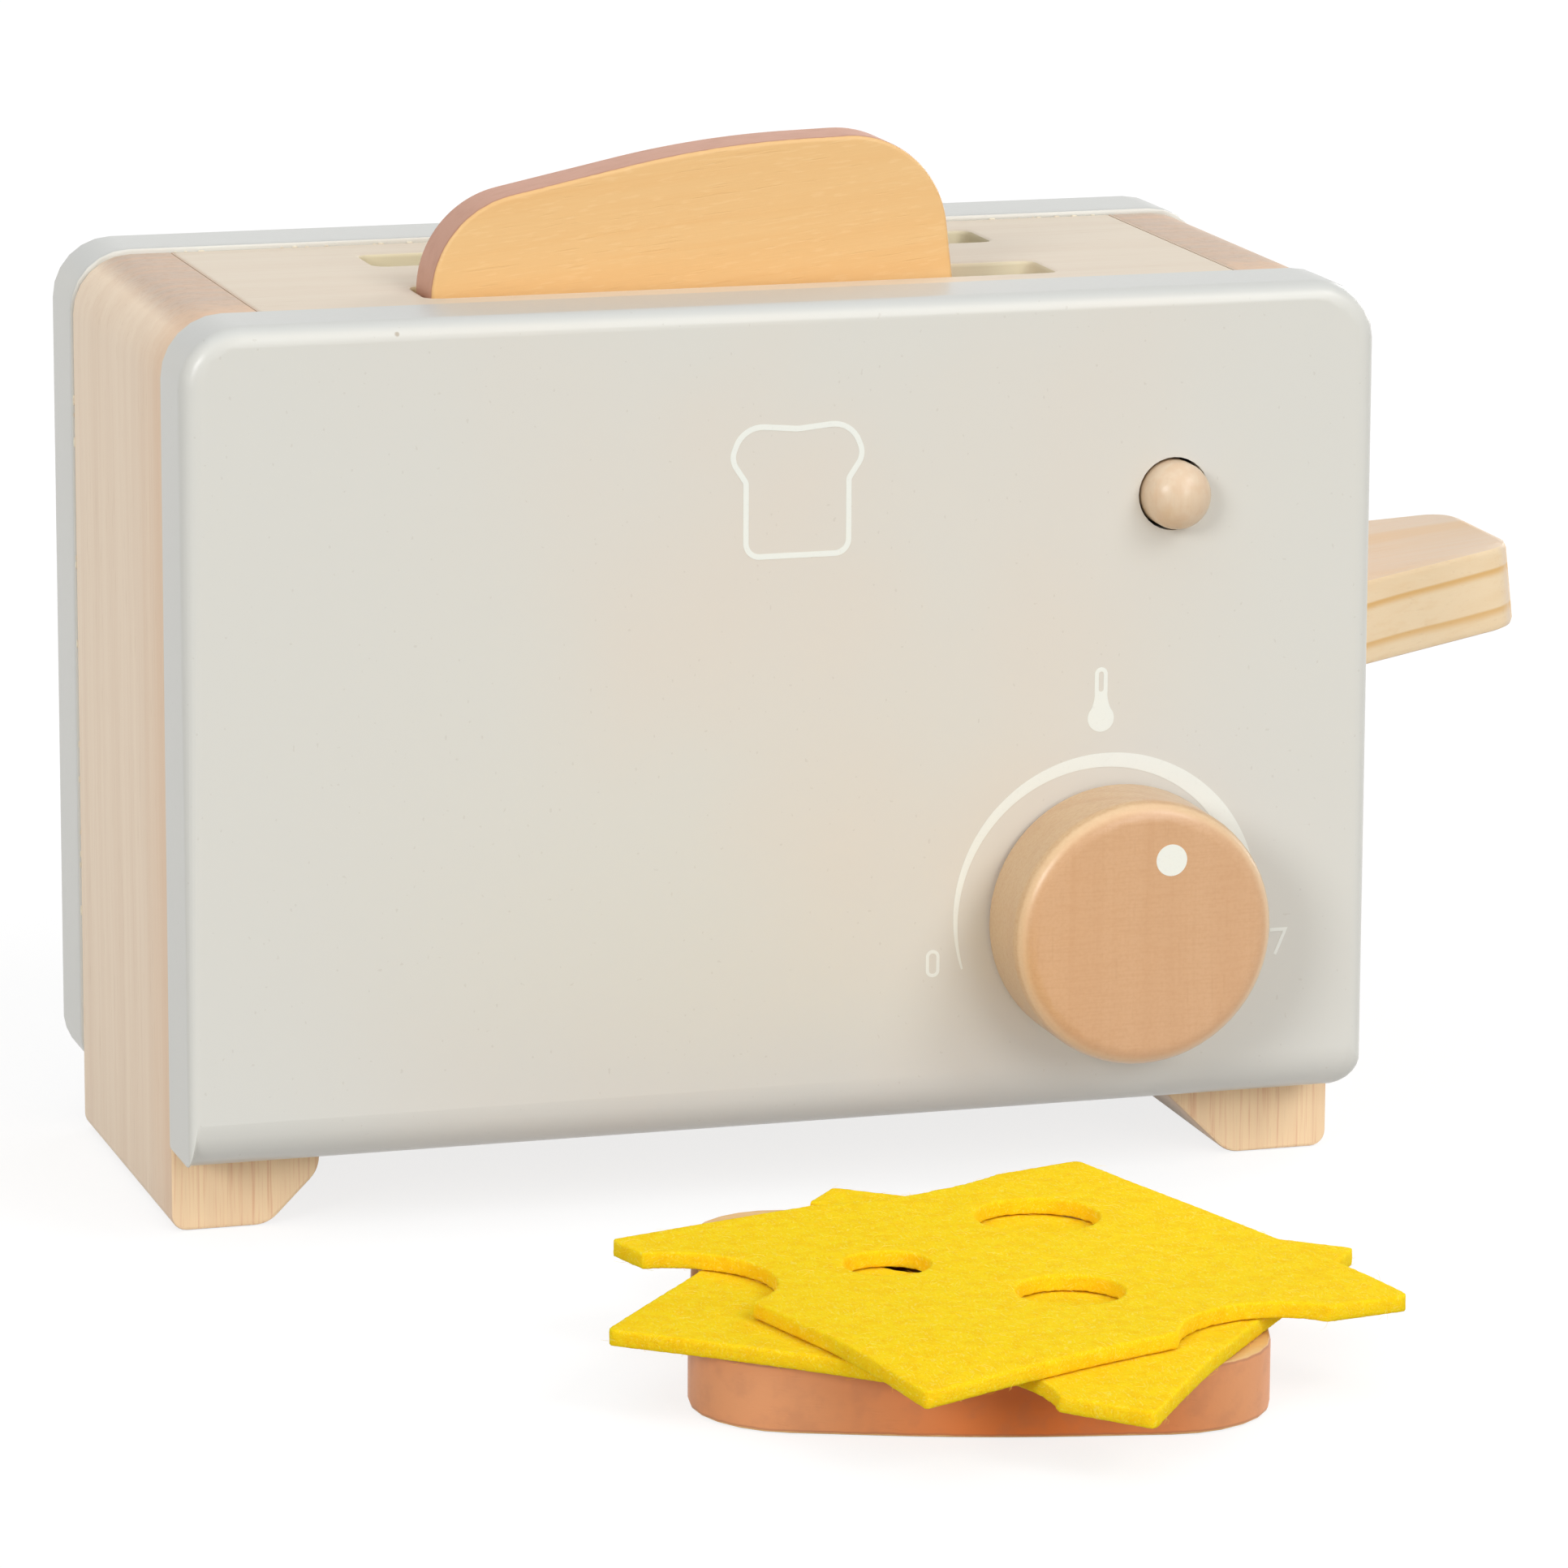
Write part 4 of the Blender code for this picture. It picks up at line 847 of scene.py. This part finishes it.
class TOASTER_OT_side_boards(bpy.types.Operator):
    """Finish the two side boards with upright grain"""

    bl_idname = "toaster.side_boards"
    bl_label = "Side boards"

    def execute(self, context):
        wood = context.scene.toaster_wood
        tones = (wood.side_pale, wood.side_dark, wood.side_end, wood.leg_front_tone_and_light)
        for node, side in (("left_side_board", -1), ("right_side_board", 1)):
            low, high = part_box(node)
            pith = ((low.x + high.x) / 2 + side * 0.004, low.y - 0.012, 0.0)
            graph = wood_finish(node + "_wood", 2, pith, 0.0052, tones, (0.16, 0.13, 0.12))
            points = graph.points()
            # Partly painted light: the narrow faces, mostly the leg fronts under the panel, take the
            # brighter honey tone
            front_on = graph.between(abs(graph.part(graph.normals(), "Y")), 0.55, 0.9)
            graph.layer(front_on * 0.6, wood.leg_front_tone_and_light)
            ahead = graph.part(points, "Y") + graph.grain(points, 300.0, 6.0, 2) * 0.016
            peach = (1.0 - graph.between(ahead, low.y + 0.010, low.y + 0.026)) * (1.0 - front_on)
            graph.layer(peach * 0.55, wood.side_peach)
            vein = graph.between(graph.grain(points, 420.0, 9.0, 2), 0.48, 0.60) * front_on
            graph.layer(vein * 0.15, wood.side_peach)
            streak = graph.between(graph.grain(points, 1500.0, 32.0, 2, 3.0, 0.7), 0.49, 0.68) * front_on
            graph.layer(streak * 0.34, wood.leg_streak)
            dress(node, graph.material)
        return {"FINISHED"}


class TOASTER_OT_top_board(bpy.types.Operator):
    """Finish the slotted top board"""

    bl_idname = "toaster.top_board"
    bl_label = "Top board"

    def execute(self, context):
        wood = context.scene.toaster_wood
        tones = (wood.top_pale, wood.top_dark, wood.top_dark, wood.top_dark)
        pith = (0.0, CENTRE_Y, -0.25)
        graph = wood_finish("top_board_wood", 0, pith, 0.012, tones, (0.30, 0.20, 0.08))
        graph.layer(1.0 - graph.between(graph.part(graph.normals(), "Z"), 0.3, 0.8), wood.slot_wall)
        dress("top_board", graph.material)
        return {"FINISHED"}


class TOASTER_OT_glue(bpy.types.Operator):
    """Fill the top board's end joints and leave beads of dried glue along the back panel"""

    bl_idname = "toaster.glue"
    bl_label = "Glue in the joints"

    def execute(self, context):
        wood = context.scene.toaster_wood
        dried = Surface("dried_wood_glue", wood.glue, roughness=0.4)
        dried.layer(dried.between(dried.noise(dried.points(), 900.0, 2.0), 0.4, 0.65) * 0.5, wood.top_dark)
        gap, overlap, sunk, deep = mm(0.3, 0.04, 0.05, 5.0)
        joints = bmesh.new()
        for x in (TOP_LOW.x - gap, TOP_HIGH.x):
            low = Vector((x - overlap, TOP_LOW.y, TOP_HIGH.z - deep))
            high = Vector((x + gap + overlap, TOP_HIGH.y, TOP_HIGH.z - sunk))
            place = Matrix.Translation((low + high) / 2) @ Matrix.Diagonal((*(high - low), 1.0))
            bmesh.ops.create_cube(joints, size=1.0, matrix=place)
        joint = Surface("glued_wood_joint", wood.side_end, roughness=0.6)
        joint.layer(joint.noise(joint.points(), 600.0, 2.0), wood.top_dark)
        new_piece("top_board_glue_lines", joints, joint.material, "housing")
        new_piece("back_panel_glue_beads", self.beads(), dried.material, "housing")
        return {"FINISHED"}

    def beads(self):
        """Small flattened beads where the top board and the left side board meet the back panel."""
        draw = random.Random(5)
        data = bmesh.new()
        side_low, side_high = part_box("left_side_board")
        wide, tall = (1.0, 0.6, 0.35), (0.35, 0.6, 1.6)
        top_count, side_count = 34, 12
        foot_margin, head_margin = 0.03, 0.02
        smallest, largest = 0.00022, 0.00055
        places = []
        for count in range(top_count):
            places.append((draw.uniform(TOP_LOW.x, TOP_HIGH.x), TOP_HIGH.z, wide))
        for count in range(side_count):
            height = draw.uniform(side_low.z + foot_margin, side_high.z - head_margin)
            places.append((side_low.x, height, tall))
        for x, z, shape in places:
            size = draw.uniform(smallest, largest)
            place = Matrix.Translation((x, TOP_HIGH.y + draw.uniform(-0.0002, 0.0001), z))
            scale = Matrix.Diagonal((*(size * share for share in shape), 1.0))
            bmesh.ops.create_icosphere(data, subdivisions=2, radius=1.0, matrix=place @ scale)
        return data


class TOASTER_OT_inner_woodwork(bpy.types.Operator):
    """Finish the bottom board, the dowels and the button's bridge with its screws and its spring"""

    bl_idname = "toaster.inner_woodwork"
    bl_label = "Inner woodwork"

    def execute(self, context):
        wood = context.scene.toaster_wood
        tones = (wood.dowel_pale, wood.dowel_dark, wood.dowel_dark, wood.dowel_pale)
        across = wood_finish("dowel_birch", 1, (0.30, 0.0, 0.12), 0.0022, tones, (0.25, 0.30, 0.20)).material
        along = wood_finish("plain_birch", 0, (0.0, 0.1, -0.12), 0.004, tones, (0.30, 0.30, 0.20)).material
        steel = steel_finish()
        dress("bottom_board", along)
        dress("button_bridge", along)
        for side in ("front", "back"):
            for place in ("left_low", "left_high", "right_low", "right_high"):
                dress(f"{side}_dowel_{place}", across)
        for node in ("lever_pivot_dowel", "lever_rest_dowel"):
            dress(node, across)
        for node in ("knob_axle", "knob_retaining_disc", "button_collar"):
            dress(node, across)
        for node in ("knob_screw", "bridge_screw_low", "bridge_screw_high"):
            dress(node, steel)
        self.make_spring(steel)
        return {"FINISHED"}

    def make_spring(self, steel):
        """The button's spring, as a copy of the solid with a mesh of its own."""
        item = copied_solid("button_coil_spring", "button_spring", steel)
        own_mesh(item)


class TOASTER_OT_lever(bpy.types.Operator):
    """Finish the see-saw lever, whose year rings lie nearly flat"""

    bl_idname = "toaster.lever"
    bl_label = "Lever"

    def execute(self, context):
        wood = context.scene.toaster_wood
        tones = (wood.lever_flat, wood.lever_dark, wood.lever_end, wood.lever_pale)
        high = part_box("lever_board")[1]
        top = high.z * math.cos(LEVER_TILT) - high.x * math.sin(LEVER_TILT)
        gap, first_ring, pith_ahead = 0.0062, 0.0020, 0.0165
        pith = (0.0, CENTRE_Y - pith_ahead, top - first_ring - 12 * gap)
        finish = {"turn": (0.0, LEVER_TILT, 0.0), "early": 0.70, "wobble": 0.25}
        graph = wood_finish("lever_pine", 0, pith, gap, tones, (0.95, 0.16, 0.05), **finish)
        dress("lever_board", graph.material)
        return {"FINISHED"}


class TOASTER_OT_knob(bpy.types.Operator):
    """Finish the dial knob and print its dot"""

    bl_idname = "toaster.knob"
    bl_label = "Dial knob"

    def execute(self, context):
        wood = context.scene.toaster_wood
        paint = context.scene.toaster_paint
        tones = (wood.knob_side, wood.knob_dark, wood.knob_side, wood.knob_face)
        low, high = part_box("knob")
        centre = (low + high) / 2
        pith = (centre.x + 0.04, centre.y + 0.05, 0.0)
        graph = wood_finish("knob_beech", 2, pith, 0.0048, tones, (0.14, 0.24, 0.05), roughness=0.36)
        points = graph.points()
        graph.layer(graph.between(graph.noise(points, 1700.0, 3.0, 0.65), 0.44, 0.64) * 0.28, wood.knob_dark)
        crossing = graph.between(graph.grain(points, 2600.0, 200.0, 0), 0.46, 0.62)
        graph.layer(crossing * 0.22, wood.knob_dark)
        # Painted highlight on the rim's rounding, between the side and the face
        facing = abs(graph.part(graph.normals(), "Y"))
        rim = graph.between(facing, 0.35, 0.60) * (1.0 - graph.between(facing, 0.76, 0.96))
        graph.layer(rim * 0.42, wood.knob_rim_highlight)
        graph.put("Coat Weight", 0.35)
        dress("knob", graph.material)
        dot_angle, dot_reach, dot_radius = math.radians(72), *mm(12.4, 2.5)
        arm = Vector((math.cos(dot_angle), math.sin(dot_angle))) * dot_reach
        place = Vector((centre.x, centre.z)) + arm
        data = disc(place, dot_radius, low.y + PRINT_ROOT, low.y - paint.ink)
        new_piece("knob_dot_print", data, print_finish(paint), "knob")
        return {"FINISHED"}


class TOASTER_OT_button(bpy.types.Operator):
    """Finish the push button"""

    bl_idname = "toaster.button"
    bl_label = "Push button"

    def execute(self, context):
        wood = context.scene.toaster_wood
        tones = (wood.button, wood.dowel_dark, wood.button, wood.button)
        low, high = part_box("button_peg")
        pith = ((low.x + high.x) / 2 + 0.011, 0.0, (low.z + high.z) / 2 - 0.009)
        graph = wood_finish("button_birch", 2, pith, 0.0030, tones, (0.10, 0.12, 0.0))
        cloud = graph.between(graph.noise(graph.points(), 420.0, 2.0), 0.44, 0.62)
        graph.layer(cloud * 0.22, wood.knob_face)
        graph.put("Coat Weight", 0.5)
        dress("button_peg", graph.material)
        return {"FINISHED"}


class TOASTER_OT_bread(bpy.types.Operator):
    """Make the slice in the slot and finish the loose slice of bread"""

    bl_idname = "toaster.bread"
    bl_label = "Bread slices"

    def execute(self, context):
        food = context.scene.toaster_food
        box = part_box("toast_slice_in_slot")
        tones = (food.crust, food.crust)
        material = bread_finish("bread_in_slot_wood", food, tones, "Y", box, (0.0, LEVER_TILT, 0.0))
        item = new_piece("bread_slice_in_slot", self.slice(*box), material, "toast_in_slot")
        item.data.shade_smooth()
        item.data.set_sharp_from_angle(angle=SHARP_ANGLE)
        keep_flat(item)
        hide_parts("toast_slice_in_slot")
        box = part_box("toast_slice_loose")
        # Painted shade and bounce light on the loose slice's crust
        tones = (food.loose_mid_painted_shade_and_bounce, food.loose_end_paint_and_bounce)
        material = bread_finish("bread_loose_wood", food, tones, "Z", box, (0.0, 0.0, LOOSE_TURN))
        dress("toast_slice_loose", material)
        return {"FINISHED"}

    def slice(self, low, high):
        """The standing slice with finely rounded corners and edges, tilted with the lever."""
        half_x, half_z, edge = mm(41.75, 42.25, 0.7)
        left_drop, right_drop, crown_x, crown_rise = mm(3.5, 2.3, 6.0, 0.8)
        foot_radius, top_radius, crown_radius = mm(13.0, 16.0, 160.0)
        corners = (
            (-half_x, -half_z, foot_radius),
            (half_x, -half_z, foot_radius),
            (half_x, half_z - right_drop, top_radius),
            (crown_x, half_z + crown_rise, crown_radius),
            (-half_x, half_z - left_drop, top_radius),
        )
        outline = rounded_loop(corners, 24)
        steps = 4
        depths = []
        for step in range(steps, -1, -1):
            angle = math.pi / 2 * step / steps
            depths.append((low.y + edge * (1 - math.sin(angle)), edge * (1 - math.cos(angle))))
        depths += [(low.y + high.y - y, inset) for y, inset in reversed(depths)]
        data = bmesh.new()
        close_stack(data, [row(data, offset(outline, inset, True), y) for y, inset in depths])
        bmesh.ops.rotate(data, matrix=Matrix.Rotation(-LEVER_TILT, 3, "Y"), verts=data.verts)
        xs = [vert.co.x for vert in data.verts]
        zs = [vert.co.z for vert in data.verts]
        shift = ((low.x + high.x - min(xs) - max(xs)) / 2, 0.0, low.z - min(zs))
        bmesh.ops.translate(data, vec=shift, verts=data.verts)
        return data


# Felt cheese

# Half the loose slice's width and how far a corner reaches past it, then the distances from the slice's
# middle at which a corner's hang starts and is full
BREAD_HALF = 0.0415
FREE_REACH = 0.022
HANG_START = 0.015
HANG_FULL = 0.060

# The felt's rounded corners, and its fibres' lengths, rises, curl and radius
FELT_CORNER = 0.0016
FIBRE_LENGTHS = (0.0008, 0.0026)
FIBRE_RISES = (0.00005, 0.00035)
FIBRE_CURL = 0.0009
FIBRE_RADIUS = 0.000022

# Each slice's height in the stack, its place from the panel's middle and front, its turn and what it lies on
CHEESE_PLACES = (
    ("lower", 0.0027, 0.0911, -39.7, "toast_slice_loose"),
    ("upper", 0.0062, 0.0889, 16.1, "cheese_felt_lower"),
)

# The round cuts in a slice: x, y and radius in shares of its side
CHEESE_ROUNDS = (
    (-0.172, 0.113, 0.076),
    (0.225, 0.231, 0.111),
    (0.002, -0.193, 0.094),
    (-0.555, 0.213, 0.186),
    (0.169, -0.607, 0.190),
    (0.120, 1.090, 0.625),
)


def felt_slab(side, thickness, voxel):
    """The cut slice as a closed mesh round the origin, in an even fine mesh with softened cut edges."""
    data = bmesh.new()
    bmesh.ops.create_cube(data, size=1.0)
    bmesh.ops.scale(data, vec=(side, side, thickness), verts=data.verts)
    upright = [edge for edge in data.edges if abs(edge.verts[0].co.z - edge.verts[1].co.z) > thickness / 2]
    bmesh.ops.bevel(data, geom=upright, offset=FELT_CORNER, segments=4, profile=0.5, affect="EDGES")
    slab = linked("felt_slab", as_mesh("felt_slab", data))
    cutters = []
    for x, y, share in CHEESE_ROUNDS:
        data = bmesh.new()
        radius = share * side
        size = {"segments": 160, "radius1": radius, "radius2": radius, "depth": 3 * thickness}
        bmesh.ops.create_cone(data, cap_ends=True, **size)
        bmesh.ops.translate(data, vec=(x * side, y * side, 0.0), verts=data.verts)
        cutter = linked("felt_punch", as_mesh("felt_punch", data))
        punch = slab.modifiers.new("punch", "BOOLEAN")
        punch.object = cutter
        punch.operation = "DIFFERENCE"
        punch.solver = "EXACT"
        cutters.append(cutter)
    remesh = slab.modifiers.new("even mesh", "REMESH")
    remesh.mode = "VOXEL"
    remesh.voxel_size = voxel
    soften = slab.modifiers.new("soft cut", "SMOOTH")
    soften.factor = 0.5
    soften.iterations = 3
    graph = bpy.context.evaluated_depsgraph_get()
    made = bpy.data.meshes.new_from_object(slab.evaluated_get(graph))
    for item in [slab, *cutters]:
        bpy.data.objects.remove(item, do_unlink=True)
    return made


def ruffle(mesh, thickness, seed):
    """Matted surface: small lumps and pits along the normals, inside the slice's thickness."""
    half = thickness / 2
    shift = Vector((seed, 2.0 * seed, 0.0))
    places = []
    for vert in mesh.vertices:
        lump = noise.noise(vert.co * 900.0 + shift) * 0.00006
        fine = noise.noise(vert.co * 2300.0 + shift) * 0.00004
        moved = vert.co + vert.normal * (lump + fine - 0.00005)
        moved.z = max(-half, min(half, moved.z))
        places.append(moved)
    for vert, place in zip(mesh.vertices, places):
        vert.co = place


def hang(mesh, droop):
    """Let the corners that reach past the slice of bread on its near side hang down a little."""
    low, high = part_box("toast_slice_loose")
    centre = (low + high) / 2
    turn = Matrix.Rotation(LOOSE_TURN, 2)
    for vert in mesh.vertices:
        point = turn @ Vector((vert.co.x - centre.x, vert.co.y - centre.y))
        past_x = max(0.0, abs(point.x) - BREAD_HALF)
        past_y = max(0.0, abs(point.y) - BREAD_HALF)
        past = math.hypot(past_x, past_y) / FREE_REACH
        near = smooth_step(centre.y - vert.co.y, HANG_START, HANG_FULL)
        slow = noise.noise(Vector((vert.co.x, vert.co.y, 0.0)) * 34.0) * 0.00010
        vert.co.z += slow - droop * near * min(past, 1.2) ** 1.6


def fibre_strands(mesh, count, seed):
    """Short curled fibres that leave the felt's surface and lie back along it."""
    draw = random.Random(seed)
    data = bmesh.new()
    steps = 5
    for pick in draw.sample(range(len(mesh.vertices)), count):
        vert = mesh.vertices[pick]
        normal = vert.normal.copy()
        rim = abs(normal.z) < 0.7
        side = normal.orthogonal().normalized()
        side.rotate(Matrix.Rotation(draw.uniform(0, math.tau), 3, normal))
        length = draw.uniform(*FIBRE_LENGTHS) * (0.7 if rim else 1.0)
        rise = draw.uniform(*FIBRE_RISES) * (1.6 if rim else 1.0)
        curl = side.cross(normal) * draw.uniform(-FIBRE_CURL, FIBRE_CURL)
        rings = []
        for step in range(steps + 1):
            share = step / steps
            place = vert.co + side * length * share + curl * share * share
            place += normal * (rise * math.sin(math.pi * (0.08 + 0.84 * share)) - 0.00006)
            thin = FIBRE_RADIUS * (1.0 - 0.5 * share)
            ring = []
            for angle in (0.0, math.tau / 3, 2 * math.tau / 3):
                around = normal * math.cos(angle) + side.cross(normal) * math.sin(angle)
                ring.append(data.verts.new(place + around * thin))
            rings.append(ring)
        close_stack(data, rings)
    return data


class TOASTER_OT_cheese(bpy.types.Operator):
    """Make the two felt slices with their loose fibres"""

    bl_idname = "toaster.cheese"
    bl_label = "Felt cheese"

    def execute(self, context):
        food = context.scene.toaster_food
        felt = felt_finish(food)
        fibres = fibre_finish(food)
        slab = felt_slab(food.side, food.thickness, food.voxel)
        for index, (level, x, ahead, turn, under) in enumerate(CHEESE_PLACES):
            name = f"cheese_felt_{level}"
            node = f"cheese_slice_{level}"
            body = f"cheese_{level}"
            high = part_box(node)[1]
            mesh = slab.copy()
            mesh.name = name
            ruffle(mesh, food.thickness, 3.7 + index)
            place = Matrix.Translation((CENTRE_X + x, FRONT_Y - ahead, high.z - food.thickness / 2))
            mesh.transform(place @ Matrix.Rotation(math.radians(turn), 4, "Z"))
            hang(mesh, food.droop)
            mesh.materials.append(felt)
            mesh.shade_smooth()
            item = piece_of(name, mesh, body)
            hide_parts(node)
            strands = fibre_strands(mesh, food.fibres, 11 + index)
            fuzz = new_piece(name + "_fibres", strands, fibres, body)
        bpy.data.meshes.remove(slab)
        return {"FINISHED"}


# Stage

# Each lamp's width, azimuth and height in degrees
LAMPS = {
    "left": (20, -48, 22),
    "right": (24, 39, 40),
    "front": (26, 18, 20),
    "top": (70, -10, 75),
    "back": (30, 130, 14),
}

# Where the camera aims, from the front panel's middle, its front and the marks' base line
CAMERA_AIM = (0.01096, 0.040, 0.0452)
FLOOR_RADIUS = 9.0
FLOOR_Z = -0.0001


class TOASTER_OT_stage(bpy.types.Operator):
    """Set the floor, the lamps, the sky and the camera"""

    bl_idname = "toaster.stage"
    bl_label = "Stage"

    def execute(self, context):
        stage = context.scene.toaster_stage
        self.make_floor()
        self.make_sky(context, stage)
        for side, direction in LAMPS.items():
            self.make_lamp(side + "_lamp", getattr(stage, side), *direction)
        self.make_camera(context, stage)
        return {"FINISHED"}

    def make_floor(self):
        """A wide pale floor that the camera sees white where it is lit, with the object's shadow on it."""
        data = bmesh.new()
        bmesh.ops.create_circle(data, cap_ends=True, segments=96, radius=FLOOR_RADIUS)
        floor = linked("floor", as_mesh("floor", data))
        floor.location.z = FLOOR_Z
        black, dim, pale, white = ((value, value, value, 1.0) for value in (0.0, 0.25, 0.54, 1.0))
        graph = Surface("white_floor", pale, roughness=0.9, specular=0.0)
        seen = graph.seen()
        graph.layer(seen, dim)
        graph.put("Emission Strength", 1.0)
        graph.put("Emission Color", graph.blend(seen * 0.80, black, white))
        floor.data.materials.append(graph.material)

    def make_sky(self, context, stage):
        """Even light from all round, seen as white by the camera and in reflections."""
        world = bpy.data.worlds.new("even_sky")
        context.scene.world = world
        world.use_nodes = True
        world.node_tree.nodes.clear()
        graph = Graph(world.node_tree)
        strength = stage.world + graph.seen() * (1.0 - stage.world)
        light = graph.node("ShaderNodeBackground", inputs={"Color": (1.0, 1.0, 1.0), "Strength": strength})
        end = world.node_tree.nodes.new("ShaderNodeOutputWorld")
        graph.feed(end.inputs["Surface"], light)

    def make_lamp(self, name, strength, width, azimuth, height):
        """A wide, far lamp that shines from a direction, given in degrees."""
        lamp = bpy.data.lights.new(name, "SUN")
        lamp.energy = strength
        lamp.angle = math.radians(width)
        linked(name, lamp).rotation_euler = (math.radians(90 - height), 0.0, math.radians(azimuth))

    def make_camera(self, context, stage):
        """The camera at the photograph's viewing angle."""
        aim_x, aim_y, aim_z = CAMERA_AIM
        target = Vector((CENTRE_X + aim_x, FRONT_Y + aim_y, MARKS_BASE_Z + aim_z))
        back = Vector((
            math.sin(stage.azimuth) * math.cos(stage.elevation),
            -math.cos(stage.azimuth) * math.cos(stage.elevation),
            math.sin(stage.elevation),
        ))
        right = (-back).cross(Vector((0.0, 0.0, 1.0))).normalized()
        up = right.cross(-back)
        across = math.cos(stage.roll) * right + math.sin(stage.roll) * up
        upward = math.cos(stage.roll) * up - math.sin(stage.roll) * right
        data = bpy.data.cameras.new("camera")
        data.lens = stage.lens
        data.sensor_width = 36.0
        data.clip_start = 0.05
        data.clip_end = 50.0
        item = linked("camera", data)
        turn = Matrix((across, upward, back)).transposed().to_4x4()
        item.matrix_world = Matrix.Translation(target + back * stage.distance) @ turn
        context.scene.camera = item


class TOASTER_PT_pieces(bpy.types.Panel):
    """Buttons that make each group of pieces"""

    bl_label = "Toy Toaster"
    bl_idname = "TOASTER_PT_pieces"
    bl_space_type = "VIEW_3D"
    bl_region_type = "UI"
    bl_category = "Toaster"

    def draw(self, context):
        for piece in PIECES:
            self.layout.operator(piece.bl_idname, text=piece.bl_label)


SETTINGS = {
    "toaster_paint": ToasterPaintSettings,
    "toaster_wood": ToasterWoodSettings,
    "toaster_food": ToasterFoodSettings,
    "toaster_stage": ToasterStageSettings,
}
PIECES = (
    TOASTER_OT_stage,
    TOASTER_OT_panels,
    TOASTER_OT_prints,
    TOASTER_OT_side_boards,
    TOASTER_OT_top_board,
    TOASTER_OT_glue,
    TOASTER_OT_inner_woodwork,
    TOASTER_OT_lever,
    TOASTER_OT_knob,
    TOASTER_OT_button,
    TOASTER_OT_bread,
    TOASTER_OT_cheese,
)


def register():
    """Add the settings, the operators and the panel."""
    for name, group in SETTINGS.items():
        bpy.utils.register_class(group)
        setattr(bpy.types.Scene, name, PointerProperty(type=group))
    for piece in PIECES:
        bpy.utils.register_class(piece)
    bpy.utils.register_class(TOASTER_PT_pieces)


def unregister():
    """Take them out again."""
    bpy.utils.unregister_class(TOASTER_PT_pieces)
    for piece in reversed(PIECES):
        bpy.utils.unregister_class(piece)
    for name, group in SETTINGS.items():
        delattr(bpy.types.Scene, name)
        bpy.utils.unregister_class(group)


def main():
    """Make every piece."""
    register()
    scene = bpy.context.scene
    scene.view_settings.view_transform = "Standard"
    for piece in PIECES:
        group, name = piece.bl_idname.split(".")
        getattr(getattr(bpy.ops, group), name)()


if __name__ == "__main__":
    main()
